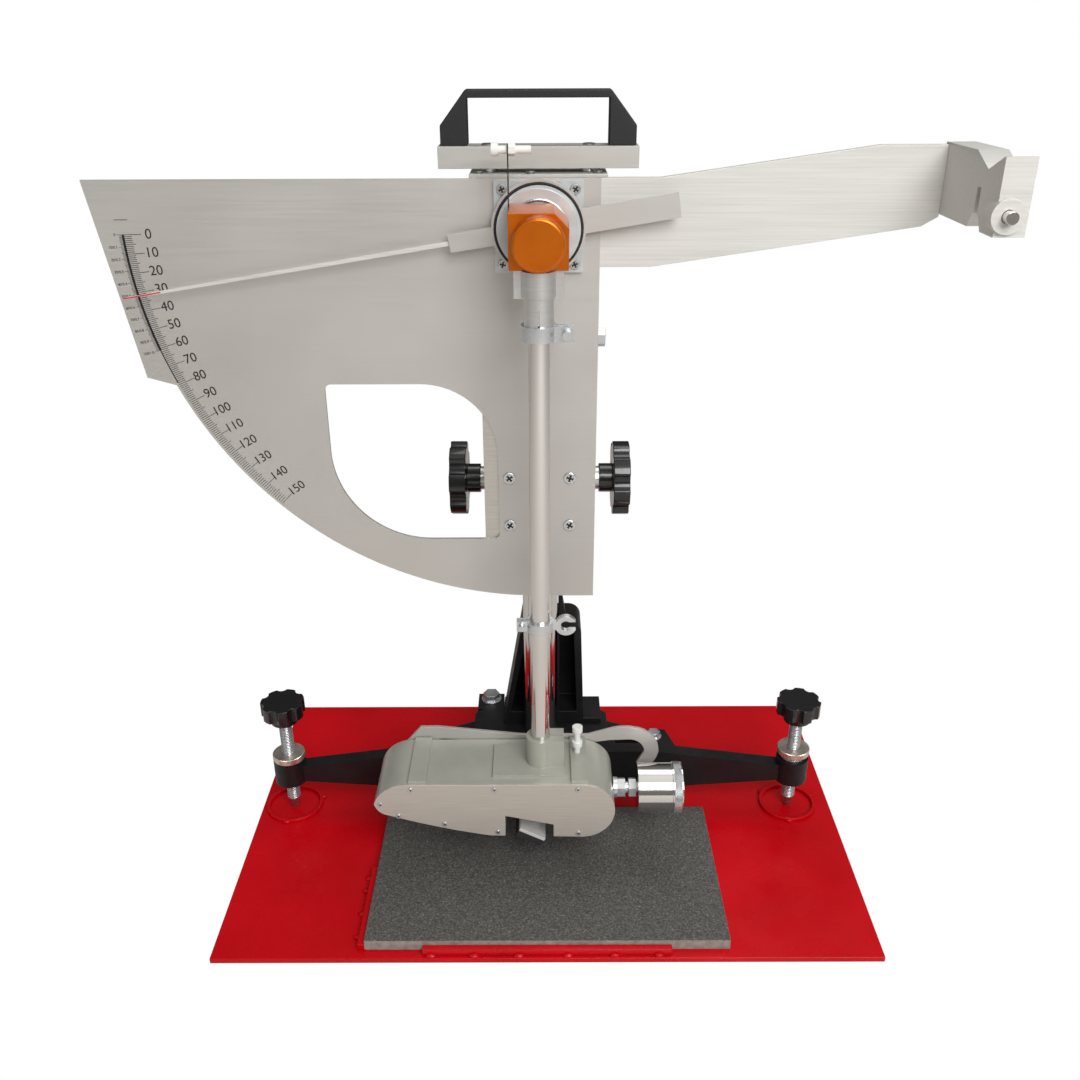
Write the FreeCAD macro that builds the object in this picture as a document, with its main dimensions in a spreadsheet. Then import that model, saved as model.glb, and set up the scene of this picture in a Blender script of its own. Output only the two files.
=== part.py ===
import FreeCAD, Part
import math
import os

import Sketcher

# Pendulum skid resistance tester, in millimetres, +Z up.
# The origin lies under the pendulum: X = 0 and Y = 0 on the axis of the hanging tube,
# Z = 0 at the underside of the plate that the tester stands on. The swing plane is X-Z,
# and -Y is the side that the operator reads.

DRIVING_SIZES = {
    # stand plate, tile and what locates them
    "plate_length": 550.0,
    "plate_depth": 356.0,
    "plate_thick": 5.0,
    "plate_shift": 5.0,
    "plate_front": -118.0,
    "tile_length": 300.0,
    "tile_depth": 165.0,
    "tile_thick": 10.0,
    "tile_edge": 9.0,
    "rail_section": 6.0,
    "rail_front_length": 204.0,
    "rail_side_length": 90.0,
    "ring_inner": 23.6,
    "ring_bar": 3.4,
    "ring_height": 3.6,
    # levelling feet
    "foot_spread": 239.5,
    "foot_row": 72.5,
    "rear_foot_row": 195.0,
    "screw_radius": 6.0,
    "screw_tip_radius": 4.0,
    "screw_tip_length": 9.0,
    "screw_grip": 12.0,
    "foot_boss_radius": 15.0,
    "foot_boss_low": 37.0,
    "foot_boss_height": 25.0,
    "nut_radius": 15.0,
    "nut_height": 6.0,
    "nut_lift": 5.0,
    "washer_thick": 2.0,
    "thread_play": 0.08,
    "level_knob_low": 104.0,
    "level_hub_height": 8.0,
    "level_hub_radius": 12.5,
    "level_knob_height": 14.0,
    "level_knob_radius": 20.0,
    "lobe_count": 7.0,
    # cross beam and base casting
    "beam_front": 66.0,
    "beam_thick": 13.0,
    "beam_low": 30.0,
    "beam_top": 72.0,
    "beam_flat": 110.0,
    "beam_tip_top": 55.0,
    "casting_half": 65.0,
    "casting_back": 142.0,
    "casting_low": 32.0,
    "ear_reach": 122.0,
    "ear_depth": 34.0,
    "ear_low": 50.0,
    "ear_thick": 14.0,
    "window_width": 24.0,
    "window_depth": 14.0,
    "window_x": 84.0,
    "window_y": 98.0,
    "ear_screw_x": 110.0,
    "ear_screw_y": 101.0,
    "leg_half": 20.0,
    "leg_thick": 26.0,
    "lug_left": 63.0,
    "lug_right": 37.0,
    "lug_depth": 22.0,
    "lug_thick": 14.0,
    "bolt_hex": 8.4,
    "bolt_head": 6.0,
        "seat_play": 0.02,
    # column
    "post_radius": 16.0,
    "post_row": 108.0,
    "post_foot": 46.0,
    "post_drop": 13.0,
    "slide_play": 0.08,
    "rack_width": 10.0,
    "rack_root": 122.0,
    "rack_thick": 6.0,
    "tooth_module": 1.0,
    "rack_teeth_below": 24.0,
    "rack_teeth_above": 22.0,
    "pinion_teeth": 20.0,
    "bracket_front": 112.0,
    "bracket_back": 150.0,
    "bracket_left_low": 36.0,
    "bracket_left_top": 17.0,
    "bracket_right_low": 42.0,
    "bracket_right_top": 38.5,
    "bracket_top": 186.0,
    "bracket_corner": 12.0,
    "bracket_wall": 7.0,
    "bracket_flange_reach": 59.0,
    "bracket_flange": 6.0,
    # carriage that carries the pendulum head
    "head_half": 46.0,
    "head_front": 67.0,
    "head_back": 156.0,
    "head_below_knob": 30.0,
    "head_rise": 34.0,
    "head_wall": 6.0,
    "head_web": 16.0,
    "web_drop": 83.0,
    "top_plate_over": 5.0,
    "top_plate_thick": 2.5,
    "pivot_height": 553.0,
    "scale_thick": 3.0,
    "scale_radius": 312.0,
    "scale_left": 335.0,
    "scale_tab_x": 309.8,
    "scale_tab_drop": 114.8,
    "scale_notch_angle": 22.86,
    "window_left": 170.5,
    "window_right": 34.0,
    "window_drop": 121.0,
    "window_foot_drop": 257.0,
    "window_big_corner": 79.0,
    "window_top_corner": 61.0,
    "window_corner": 5.0,
    "plate_screw_radius": 5.0,
    "plate_screw_x": 25.0,
    "low_screw_drop": 244.4,
    "high_screw_drop": 201.6,
    # handle
    "handle_bar_half": 74.0,
    "handle_row": 89.0,
    "handle_bar_depth": 26.0,
    "handle_bar_thick": 15.5,
    "spacer_radius": 7.0,
    "spacer_height": 3.0,
    "spacer_x": 37.5,
    "handle_half": 72.0,
    "handle_shoulder": 14.0,
    "handle_height": 38.0,
    "handle_grip_half": 53.0,
    "handle_leg": 20.0,
    "handle_grip": 5.5,
    "handle_depth": 18.0,
    # knobs on the height shaft
    "knob_drop": 231.0,
    "shaft_radius": 6.0,
    "collar_radius": 10.4,
    "collar_gap": 0.3,
    "side_hub_radius": 12.9,
    "side_hub_start": 52.8,
    "side_hub_length": 12.0,
    "side_knob_radius": 33.0,
    "side_knob_thick": 14.6,
    "lock_drop": 123.0,
    "lock_screw_radius": 5.0,
    "lock_hub_radius": 10.0,
    "lock_hub_length": 9.0,
    "lock_knob_radius": 22.0,
    "lock_knob_thick": 12.0,
    "clamp_bolt_drop": 91.0,
    # release arm and catch
    "arm_thick": 6.0,
    "arm_drop": 30.5,
    "arm_rise": 22.0,
    "arm_bend": 90.0,
    "arm_bend_far": 249.0,
    "arm_far_drop": 1.5,
    "catch_left": 297.0,
    "catch_width": 21.0,
    "catch_front": -35.0,
    "catch_low_rise": 7.5,
    "catch_high_rise": 57.5,
    "catch_groove_half": 11.75,
    "catch_groove_top_half": 5.5,
    "catch_groove_depth": 10.0,
    "catch_vee_half": 23.0,
    "catch_vee_depth": 10.0,
    "catch_vee_row": -10.0,
    "catch_slot_half": 3.4,
    "catch_slot_rise": 35.0,
    "catch_radius": 304.0,
    "catch_offset": 21.0,
    "bush_radius": 11.5,
    "bush_length": 14.0,
    "release_pin_radius": 2.8,
    "release_neck_radius": 4.0,
    "release_neck_half": 3.0,
    "release_button_radius": 4.3,
    "release_button_length": 10.0,
    "release_travel": 6.5,
    "release_tail": 9.0,
    # bearing housing
    "flange_half": 33.0,
    "flange_thick": 4.0,
    "nose_radius": 31.0,
    "nose_length": 10.0,
    "spigot_radius": 24.0,
    "spigot_length": 22.0,
    "bearing_radius": 15.0,
    "bearing_width": 9.0,
    "spindle_radius": 7.0,
    "running_play": 0.05,
    "flange_screw_radius": 3.8,
    "screw_proud": 0.5,
    "flange_screw_offset": 27.0,
    "cover_radius": 29.0,
    "cover_thick": 2.5,
    # pointer
    "pointer_tilt": 9.1,
    "pointer_ring_radius": 35.0,
    "pointer_ring_front": 52.5,
    "pointer_ring_width": 5.0,
    "tail_start": 33.5,
    "tail_end": 104.5,
    "tail_height": 18.0,
    "tail_thick": 2.0,
    "holder_start": 33.5,
    "holder_end": 67.0,
    "holder_height": 13.0,
    "needle_thick": 1.2,
    "needle_root": 45.0,
    "needle_end": 296.0,
    "needle_root_half": 1.7,
    "needle_tip_half": 1.1,
    "needle_wire_end": 319.0,
    "needle_wire_half": 0.6,
    # pendulum, upper end
    "block_half": 21.0,
    "block_rise": 19.3,
    "block_front": -3.0,
    "block_back": 44.0,
    "block_chamfer": 10.0,
    "cap_radius": 18.6,
    "cap_thick": 15.0,
    "cap_bevel": 1.5,
    "yoke_half": 17.7,
    "yoke_depth": 22.0,
    "yoke_height": 20.0,
    "collar_round_radius": 12.3,
    "collar_round_height": 18.0,
    "sleeve_radius": 10.8,
    "sleeve_drop": 69.0,
    "tube_radius": 8.0,
    "tube_wall": 1.5,
    "tube_drop": 33.0,
    "clamp_band": 2.2,
    "clamp_height": 11.0,
    "clamp_ear_reach": 25.0,
    "clamp_ear_thick": 8.0,
    "strip_thick": 0.8,
    "strip_width": 8.0,
    "strip_front": 32.0,
    "strip_rise": 60.0,
    "nylon_radius": 2.7,
    "nylon_head_radius": 4.5,
    "nylon_nut_height": 5.0,
    "pusher_reach": 12.0,
    "pusher_length": 28.0,
    "stop_row": 10.0,
    "stop_length": 27.0,
    "stop_nut_low": 7.0,
    "nylon_rise": 56.5,
    "clip_band": 3.0,
    "clip_height": 9.0,
    "hook_outer": 8.7,
    "hook_inner": 4.4,
    "hook_mouth": 7.2,
    "hook_thick": 5.0,
    # pendulum foot
    "foot_half_depth": 32.0,
    "foot_cover": 2.0,
    "cover_screw_radius": 1.9,
    "cover_screw_inset": 4.5,
    "foot_wall": 4.0,
    "foot_top": 111.8,
    "foot_bottom": 55.8,
    "foot_end_x": 35.5,
    "foot_nose_x": 142.0,
    "foot_shoulder_x": 115.0,
    "foot_nose_z": 92.0,
    "foot_chin_x": 129.6,
    "foot_chin_z": 79.5,
    "foot_heel_x": 43.0,
    "foot_heel_z": 57.4,
    "notch_left": 30.5,
    "notch_right": 11.0,
    "notch_left_z": 78.8,
    "notch_right_z": 69.2,
    "boss_height": 28.0,
    "boss_lug_reach": 20.0,
    "boss_lug_depth": 20.0,
    "pad_left": 41.0,
    "pad_right": 23.0,
    "pad_front": 22.0,
    "pad_rise": 2.0,
    "rib_left": 112.0,
    "rib_width": 15.0,
    "rib_rise": 2.5,
    "saddle_left": 26.0,
    "saddle_right": 40.0,
    "saddle_rise": 2.5,
    "tube_foot": 109.0,
    # slider and its arm
    "slider_tilt": 28.0,
    "slider_edge_x": 0.0,
    "slider_edge_z": 39.5,
    "slider_length": 25.0,
    "slider_half": 25.0,
    "rubber_thick": 6.0,
    "backing_thick": 3.0,
    "slider_bar": 8.0,
    "slider_bar_half": 8.0,
    "slider_pivot_x": 70.0,
    "slider_pin_radius": 4.0,
    "slider_hub_radius": 8.0,
    # lifting lever
    "lever_gap": 1.0,
    "lever_thick": 3.0,
    "lever_pivot_x": 116.0,
    "lever_pivot_z": 101.0,
    "lever_pin_radius": 3.0,
    "lever_hub_radius": 7.5,
    "lever_crown_x": 25.0,
    "lever_crown_z": 23.5,
    "lever_elbow_x": 102.5,
    "lever_under": 6.0,
    "lever_depth": 8.6,
    "lever_straight": 56.0,
    "lever_reach": 222.4,
    "finger_bend": 26.4,
    "finger_drop": 21.0,
    "finger_width": 12.8,
    "finger_inner_bend": 14.0,
    "finger_outer_bend": 25.0,
    # balance weight
    "balance_height": 83.8,
    "stud_radius": 5.0,
    "stud_end": 108.0,
    "stud_bush_radius": 9.0,
    "stud_bush_length": 3.5,
    "stud_nut_hex": 8.8,
    "stud_nut_length": 7.0,
    "lock_nut_start": 77.0,
    "lock_nut_length": 6.5,
    "weight_start": 84.5,
    "weight_radius": 21.2,
    "weight_length": 30.0,
    "weight_rim_radius": 21.8,
    "weight_rim_length": 9.0,
    "weight_bore_depth": 34.0,
}

doc = FreeCAD.newDocument("SkidTester")
sheet = doc.addObject("Spreadsheet::Sheet", "Sizes")


class Size:
    """A length that remembers the spreadsheet formula that it came from."""

    def __init__(self, number, formula):
        self.number = number
        self.formula = formula

    def __add__(self, other):
        return joined(self, "+", other)

    def __radd__(self, other):
        return joined(other, "+", self)

    def __sub__(self, other):
        return joined(self, "-", other)

    def __rsub__(self, other):
        return joined(other, "-", self)

    def __mul__(self, other):
        return joined(self, "*", other)

    def __rmul__(self, other):
        return joined(other, "*", self)

    def __truediv__(self, other):
        return joined(self, "/", other)

    def __neg__(self):
        return joined(0.0, "-", self)


def number_of(value):
    return value.number if isinstance(value, Size) else float(value)


def formula_of(value):
    return value.formula if isinstance(value, Size) else "(%r)" % float(value)


def joined(left, sign, right):
    a = number_of(left)
    b = number_of(right)
    results = {"+": a + b, "-": a - b, "*": a * b, "/": a / b if b else 0.0}
    return Size(results[sign], "(%s %s %s)" % (formula_of(left), sign, formula_of(right)))


def cosine(angle):
    formula = "cos(%s * 1 deg)" % formula_of(angle)
    return Size(math.cos(math.radians(number_of(angle))), formula)


def sine(angle):
    formula = "sin(%s * 1 deg)" % formula_of(angle)
    return Size(math.sin(math.radians(number_of(angle))), formula)


class Sizes:
    """The spreadsheet's cells, by name."""

    def __init__(self, values):
        for row, (name, value) in enumerate(values.items(), start=1):
            sheet.set("A%d" % row, name)
            sheet.set("B%d" % row, "%g" % value)
            sheet.setAlias("B%d" % row, name)
            setattr(self, name, Size(value, "Sizes.%s" % name))


s = Sizes(DRIVING_SIZES)
doc.recompute()

X_AXIS = FreeCAD.Vector(1, 0, 0)
Y_AXIS = FreeCAD.Vector(0, 1, 0)
Z_AXIS = FreeCAD.Vector(0, 0, 1)
ALONG = {
    "X": FreeCAD.Rotation(Y_AXIS, 90),
    "Y": FreeCAD.Rotation(X_AXIS, -90),
    "Z": FreeCAD.Rotation(Z_AXIS, 0),
}
PLANES = {
    "XY": ("XY_Plane", False),
    "XZ": ("XZ_Plane", True),
    "YZ": ("YZ_Plane", False),
}
sub_parts = []


def bind(thing, path, value):
    """Tie one property to the spreadsheet."""
    thing.setExpression(path, formula_of(value))


def place(thing, x, y, z, rotation=None):
    if rotation is not None:
        thing.Placement = FreeCAD.Placement(FreeCAD.Vector(0, 0, 0), rotation)
    bind(thing, "Placement.Base.x", x)
    bind(thing, "Placement.Base.y", y)
    bind(thing, "Placement.Base.z", z)
    return thing


def box(x, y, z):
    """A block given by its low and high limits on each axis."""
    thing = doc.addObject("Part::Box", "Block")
    bind(thing, "Length", x[1] - x[0])
    bind(thing, "Width", y[1] - y[0])
    bind(thing, "Height", z[1] - z[0])
    return place(thing, x[0], y[0], z[0])


def rod(axis, centre, start, end, radius):
    """A cylinder along one axis; centre gives the other two coordinates in X, Y, Z order."""
    thing = doc.addObject("Part::Cylinder", "Rod")
    bind(thing, "Radius", radius)
    bind(thing, "Height", end - start)
    return place(thing, *along(axis, centre, start), ALONG[axis])


def cone(axis, centre, start, end, start_radius, end_radius):
    thing = doc.addObject("Part::Cone", "Taper")
    bind(thing, "Radius1", start_radius)
    bind(thing, "Radius2", end_radius)
    bind(thing, "Height", end - start)
    return place(thing, *along(axis, centre, start), ALONG[axis])


def along(axis, centre, start):
    places = {
        "X": (start, centre[0], centre[1]),
        "Y": (centre[0], start, centre[1]),
        "Z": (centre[0], centre[1], start),
    }
    return places[axis]


def hexagon(axis, centre, start, end, radius):
    """A hexagonal prism; radius reaches its corners."""
    thing = doc.addObject("Part::Prism", "Hexagon")
    thing.Polygon = 6
    bind(thing, "Circumradius", radius)
    bind(thing, "Height", end - start)
    return place(thing, *along(axis, centre, start), ALONG[axis])


def fuse(*pieces):
    thing = doc.addObject("Part::MultiFuse", "Joined")
    thing.Shapes = list(pieces)
    thing.Refine = True
    return thing


def cut(base, *tools):
    for tool in tools:
        thing = doc.addObject("Part::Cut", "Cut")
        thing.Base = base
        thing.Tool = tool
        thing.Refine = True
        base = thing
    return base


def group(*pieces):
    """Separate solids that share one node, such as like screws."""
    thing = doc.addObject("Part::Compound", "Group")
    thing.Links = list(pieces)
    return thing


def sub_part(name, thing):
    thing.Label = name
    sub_parts.append((name, thing))
    return thing


def arc_centre(start, end, radius, turn):
    """Centre of the short arc from start to end; turn is +1 for counter-clockwise."""
    middle_u = (start[0] + end[0]) / 2
    middle_v = (start[1] + end[1]) / 2
    chord_u = end[0] - start[0]
    chord_v = end[1] - start[1]
    chord = math.hypot(chord_u, chord_v)
    rise = math.sqrt(max(radius ** 2 - (chord / 2) ** 2, 0.0))
    return middle_u - turn * rise * chord_v / chord, middle_v + turn * rise * chord_u / chord


def sketched_edge(start, end, arc):
    first = FreeCAD.Vector(start[0], start[1], 0)
    last = FreeCAD.Vector(end[0], end[1], 0)
    if arc is None:
        return Part.LineSegment(first, last)
    radius, turn = number_of(arc[0]), arc[1]
    centre_u, centre_v = arc_centre(start, end, radius, turn)
    circle = Part.Circle(FreeCAD.Vector(centre_u, centre_v, 0), Z_AXIS, radius)
    angles = [math.atan2(p[1] - centre_v, p[0] - centre_u) for p in (start, end)]
    if turn < 0:
        angles.reverse()
    return Part.ArcOfCircle(circle, angles[0], angles[1])


def end_points(arc):
    """Vertex numbers of an edge's start and end, which swap on a clockwise arc."""
    return (2, 1) if arc is not None and arc[1] < 0 else (1, 2)


def sketch(body, plane, outlines, circles=()):
    """A closed sketch on one of the body's own planes.

    Each outline is a list of corners (u, v), or (u, v, radius, turn) where an arc runs from
    that corner to the next. Every coordinate and radius is tied to the spreadsheet.
    """
    drawing = body.newObject("Sketcher::SketchObject", "Sketch")
    role = PLANES[plane][0]
    planes = [f for f in body.Origin.OriginFeatures if f.Role == role]
    drawing.AttachmentSupport = (planes[0], "")
    drawing.MapMode = "FlatFace"
    bound = []
    for corners in outlines:
        points = [(number_of(c[0]), number_of(c[1])) for c in corners]
        arcs = [(c[2], c[3]) if len(c) == 4 else None for c in corners]
        count = len(corners)
        edges = []
        for i in range(count):
            edge = sketched_edge(points[i], points[(i + 1) % count], arcs[i])
            edges.append(drawing.addGeometry(edge, False))
        for i in range(count):
            here, before = edges[i], edges[i - 1]
            start, end = end_points(arcs[i])[0], end_points(arcs[i - 1])[1]
            drawing.addConstraint(Sketcher.Constraint("Coincident", before, end, here, start))
            across, up = corners[i][:2]
            for way, place_on, value in (("DistanceX", -2, across), ("DistanceY", -1, up)):
                if not isinstance(value, Size) and value == 0:
                    rule = Sketcher.Constraint("PointOnObject", here, start, place_on)
                    drawing.addConstraint(rule)
                else:
                    rule = Sketcher.Constraint(way, -1, 1, here, start, number_of(value))
                    bound.append((drawing.addConstraint(rule), value))
            if arcs[i] is not None:
                rule = Sketcher.Constraint("Radius", here, number_of(arcs[i][0]))
                bound.append((drawing.addConstraint(rule), arcs[i][0]))
    for centre_u, centre_v, radius in circles:
        centre = FreeCAD.Vector(number_of(centre_u), number_of(centre_v), 0)
        ring = drawing.addGeometry(Part.Circle(centre, Z_AXIS, number_of(radius)), False)
        for way, place_on, value in (("DistanceX", -2, centre_u), ("DistanceY", -1, centre_v)):
            if not isinstance(value, Size) and value == 0:
                drawing.addConstraint(Sketcher.Constraint("PointOnObject", ring, 3, place_on))
            else:
                rule = Sketcher.Constraint(way, -1, 1, ring, 3, number_of(value))
                bound.append((drawing.addConstraint(rule), value))
        rule = Sketcher.Constraint("Radius", ring, number_of(radius))
        bound.append((drawing.addConstraint(rule), radius))
    for index, value in bound:
        bind(drawing, "Constraints[%d]" % index, value)
    return drawing


def plate(plane, outlines, start, end, circles=()):
    """A body padded from one sketch between two levels along the plane's normal."""
    body = doc.addObject("PartDesign::Body", "Plate")
    drawing = sketch(body, plane, outlines, circles)
    pad = body.newObject("PartDesign::Pad", "Pad")
    pad.Profile = drawing
    pad.Reversed = PLANES[plane][1]
    bind(pad, "Length", end - start)
    body.Tip = pad
    offsets = {"XY": (0, 0, start), "XZ": (0, start, 0), "YZ": (start, 0, 0)}
    return place(body, *offsets[plane])


def rectangle(low_u, low_v, high_u, high_v):
    return [(low_u, low_v), (high_u, low_v), (high_u, high_v), (low_u, high_v)]


def star_knob(radius, thick, hub_radius, hub_length, bore_radius, bore_depth):
    """A lobed hand knob: hub at the bottom, flat star above, built on its own +Z axis."""
    body = doc.addObject("PartDesign::Body", "Knob")
    half = sketch(body, "XZ", [[
        (0, 0),
        (hub_radius, 0),
        (hub_radius, hub_length),
        (radius, hub_length),
        (radius, hub_length + thick),
        (0, hub_length + thick),
    ]])
    turned = body.newObject("PartDesign::Revolution", "Turned")
    turned.Profile = half
    turned.ReferenceAxis = (half, ["V_Axis"])
    turned.Angle = 360
    body.Tip = turned
    scoop = sketch(body, "XY", [], [(radius * 1.13, 0, radius * 0.27)])
    hollow = body.newObject("PartDesign::Pocket", "Scoop")
    hollow.Profile = scoop
    hollow.Reversed = True
    bind(hollow, "Length", hub_length + thick + 1)
    lobes = body.newObject("PartDesign::PolarPattern", "Lobes")
    lobes.Originals = [hollow]
    lobes.Axis = (scoop, ["N_Axis"])
    lobes.Angle = 360
    bind(lobes, "Occurrences", s.lobe_count)
    body.Tip = lobes
    bore = sketch(body, "XY", [], [(0, 0, bore_radius)])
    hole = body.newObject("PartDesign::Pocket", "Bore")
    hole.Profile = bore
    hole.Reversed = True
    bind(hole, "Length", bore_depth)
    body.Tip = hole
    return body


# Heights that hang from the pivot

HEAD_TOP = s.pivot_height + s.head_rise
HEAD_WEB_LOW = s.pivot_height - s.web_drop
KNOB_HEIGHT = s.pivot_height - s.knob_drop
POST_TOP = s.pivot_height - s.post_drop
WINDOW_TOP = s.pivot_height - s.window_drop
WINDOW_BOTTOM = s.pivot_height - s.window_foot_drop
PLATE_SCREW_LOW = s.pivot_height - s.low_screw_drop
PLATE_SCREW_HIGH = s.pivot_height - s.high_screw_drop
LOCK_HEIGHT = s.pivot_height - s.lock_drop
CLAMP_BOLT_HEIGHT = s.pivot_height - s.clamp_bolt_drop
ARM_LOW = s.pivot_height - s.arm_drop
ARM_FAR_LOW = s.pivot_height - s.arm_far_drop
CATCH_LOW = s.pivot_height + s.catch_low_rise
CATCH_HIGH = s.pivot_height + s.catch_high_rise
CATCH_SLOT_TOP = s.pivot_height + s.catch_slot_rise
SCALE_TAB_Z = s.pivot_height - s.scale_tab_drop
SLEEVE_LOW = s.pivot_height - s.sleeve_drop
TUBE_TOP = s.pivot_height - s.tube_drop
STRIP_TOP = s.pivot_height + s.strip_rise
NYLON_HEIGHT = s.pivot_height + s.nylon_rise
HEAD_LOW = KNOB_HEIGHT - s.head_below_knob


# Stand plate, rails and tile

PLATE_TOP = s.plate_thick
TILE_LEFT = s.plate_shift - s.tile_length / 2
TILE_FRONT = s.plate_front + s.tile_edge
TILE_TOP = PLATE_TOP + s.tile_thick


def stand():
    sub_part("base_plate", box(
        (s.plate_shift - s.plate_length / 2, s.plate_shift + s.plate_length / 2),
        (s.plate_front, s.plate_front + s.plate_depth),
        (0, PLATE_TOP)))
    sub_part("test_tile", box(
        (TILE_LEFT, TILE_LEFT + s.tile_length),
        (TILE_FRONT, TILE_FRONT + s.tile_depth),
        (PLATE_TOP, TILE_TOP)))
    rail_top = PLATE_TOP + s.rail_section
    front_rail = box(
        (s.plate_shift - s.rail_front_length / 2, s.plate_shift + s.rail_front_length / 2),
        (TILE_FRONT - s.rail_section, TILE_FRONT),
        (PLATE_TOP, rail_top))
    side_rail = box(
        (TILE_LEFT - s.rail_section, TILE_LEFT),
        (TILE_FRONT, TILE_FRONT + s.rail_side_length),
        (PLATE_TOP, rail_top))
    sub_part("tile_rails", group(front_rail, side_rail))
    sub_part("foot_rings", group(*[foot_ring(x, y) for x, y in FOOT_PLACES]))


def foot_ring(x, y):
    top = PLATE_TOP + s.ring_height
    outer = rod("Z", (x, y), PLATE_TOP, top, s.ring_inner + s.ring_bar)
    return cut(outer, rod("Z", (x, y), PLATE_TOP - 1, top + 1, s.ring_inner))


# Levelling feet: screw, star knob and knurled lock nut at three places

FOOT_PLACES = [
    (-s.foot_spread, s.foot_row),
    (s.foot_spread, s.foot_row),
    (0, s.rear_foot_row),
]
FOOT_NAMES = ["left", "right", "rear"]
BOSS_TOP = s.foot_boss_low + s.foot_boss_height


def levelling_foot(name, x, y, nut_low):
    knob_low = s.level_knob_low
    tip_top = PLATE_TOP + s.screw_tip_length
    tip = rod("Z", (x, y), PLATE_TOP, tip_top, s.screw_tip_radius)
    shank = rod("Z", (x, y), tip_top, knob_low + s.screw_grip, s.screw_radius)
    sub_part(name + "_levelling_screw", fuse(tip, shank))
    knob = star_knob(s.level_knob_radius, s.level_knob_height, s.level_hub_radius,
                     s.level_hub_height, s.screw_radius, s.screw_grip)
    sub_part(name + "_levelling_knob", place(knob, x, y, knob_low))
    nut = rod("Z", (x, y), nut_low, nut_low + s.nut_height, s.nut_radius)
    hole = rod("Z", (x, y), nut_low - 1, nut_low + s.nut_height + 1, s.screw_radius + s.thread_play)
    sub_part(name + "_lock_nut", cut(nut, hole))


def levelling_feet():
    resting = BOSS_TOP + s.collar_gap
    raised = BOSS_TOP + s.nut_lift
    for name, (x, y), low in zip(FOOT_NAMES, FOOT_PLACES, (resting, raised, resting)):
        levelling_foot(name, x, y, low)
    x, y = FOOT_PLACES[1]
    disc = rod("Z", (x, y), BOSS_TOP, BOSS_TOP + s.washer_thick, s.foot_boss_radius * 0.75)
    hole = rod("Z", (x, y), BOSS_TOP - 1, BOSS_TOP + s.washer_thick + 1, s.screw_radius + s.thread_play)
    sub_part("foot_washer", cut(disc, hole))


# Cross beam and base casting

BEAM_BACK = s.beam_front + s.beam_thick


def foot_boss(x, y):
    return rod("Z", (x, y), s.foot_boss_low, BOSS_TOP, s.foot_boss_radius)


def foot_hole(x, y):
    return rod("Z", (x, y), s.foot_boss_low - 1, BOSS_TOP + 1, s.screw_radius + s.thread_play)


def cross_beam():
    tip = s.foot_spread - s.foot_boss_radius / 2
    low_tip = s.foot_boss_low + 2
    web = plate("XZ", [[
        (-s.beam_flat, s.beam_low),
        (s.beam_flat, s.beam_low),
        (tip, low_tip),
        (tip, s.beam_tip_top),
        (s.beam_flat, s.beam_top),
        (-s.beam_flat, s.beam_top),
        (-tip, s.beam_tip_top),
        (-tip, low_tip),
    ]], s.beam_front, BEAM_BACK)
    ends = FOOT_PLACES[:2]
    beam = fuse(web, *[foot_boss(x, y) for x, y in ends])
    sub_part("cross_beam", cut(beam, *[foot_hole(x, y) for x, y in ends]))


def base_casting():
    ear_back = BEAM_BACK + s.ear_depth
    block = plate("XY", [[
        (-s.casting_half, BEAM_BACK),
        (s.casting_half, BEAM_BACK),
        (s.casting_half, s.casting_back - 12),
        (s.casting_half - 12, s.casting_back),
        (-s.casting_half + 12, s.casting_back),
        (-s.casting_half, s.casting_back - 12),
    ]], s.casting_low, s.beam_top)
    ears = []
    for side in (-1, 1):
        corners = [
            (side * (s.casting_half - 1), BEAM_BACK),
            (side * (s.ear_reach + 10), BEAM_BACK),
            (side * s.ear_reach, ear_back),
            (side * (s.ear_reach - 24), ear_back),
            (side * (s.casting_half - 1), s.casting_back - 14),
        ]
        if side < 0:
            corners.reverse()
        ears.append(plate("XY", [corners], s.ear_low, s.ear_low + s.ear_thick))
    leg_top = s.foot_boss_low + s.leg_thick
    leg = box((-s.leg_half, s.leg_half), (s.casting_back - 2, s.rear_foot_row),
              (s.foot_boss_low, leg_top - 2))
    lug = box((-s.lug_left, -s.lug_right), (s.casting_back - 4, s.casting_back + s.lug_depth),
              (s.beam_top - s.lug_thick, s.beam_top))
    rear_x, rear_y = FOOT_PLACES[2]
    solid = fuse(block, *ears, leg, lug, foot_boss(rear_x, rear_y))
    windows = [box((side_low, side_low + s.window_width),
                   (s.window_y - s.window_depth / 2, s.window_y + s.window_depth / 2),
                   (s.ear_low - 1, s.ear_low + s.ear_thick + 1))
               for side_low in (s.window_x - s.window_width / 2, -s.window_x - s.window_width / 2)]
    post_hole = rod("Z", (0, s.post_row), s.post_foot, s.beam_top + 1, s.post_radius + s.seat_play)
    sub_part("base_casting", cut(solid, *windows, post_hole, foot_hole(rear_x, rear_y)))


def hex_bolt(x, y, seat, radius, height):
    washer = rod("Z", (x, y), seat, seat + 1.5, radius * 1.2)
    head = hexagon("Z", (x, y), seat + 1.5, seat + 1.5 + height, radius)
    return fuse(washer, head)


def casting_bolts():
    ear_top = s.ear_low + s.ear_thick
    lug_bolt = hex_bolt((-s.lug_left - s.lug_right) / 2, s.casting_back + s.lug_depth * 0.55,
                        s.beam_top, s.bolt_hex, s.bolt_head)
    ear_bolts = [hex_bolt(side * s.ear_screw_x, s.ear_screw_y, ear_top, s.bolt_hex * 0.75, s.bolt_head * 0.7)
                 for side in (-1, 1)]
    sub_part("casting_bolts", group(lug_bolt, *ear_bolts))


# Column: bracket, chromed post and rack

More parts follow.
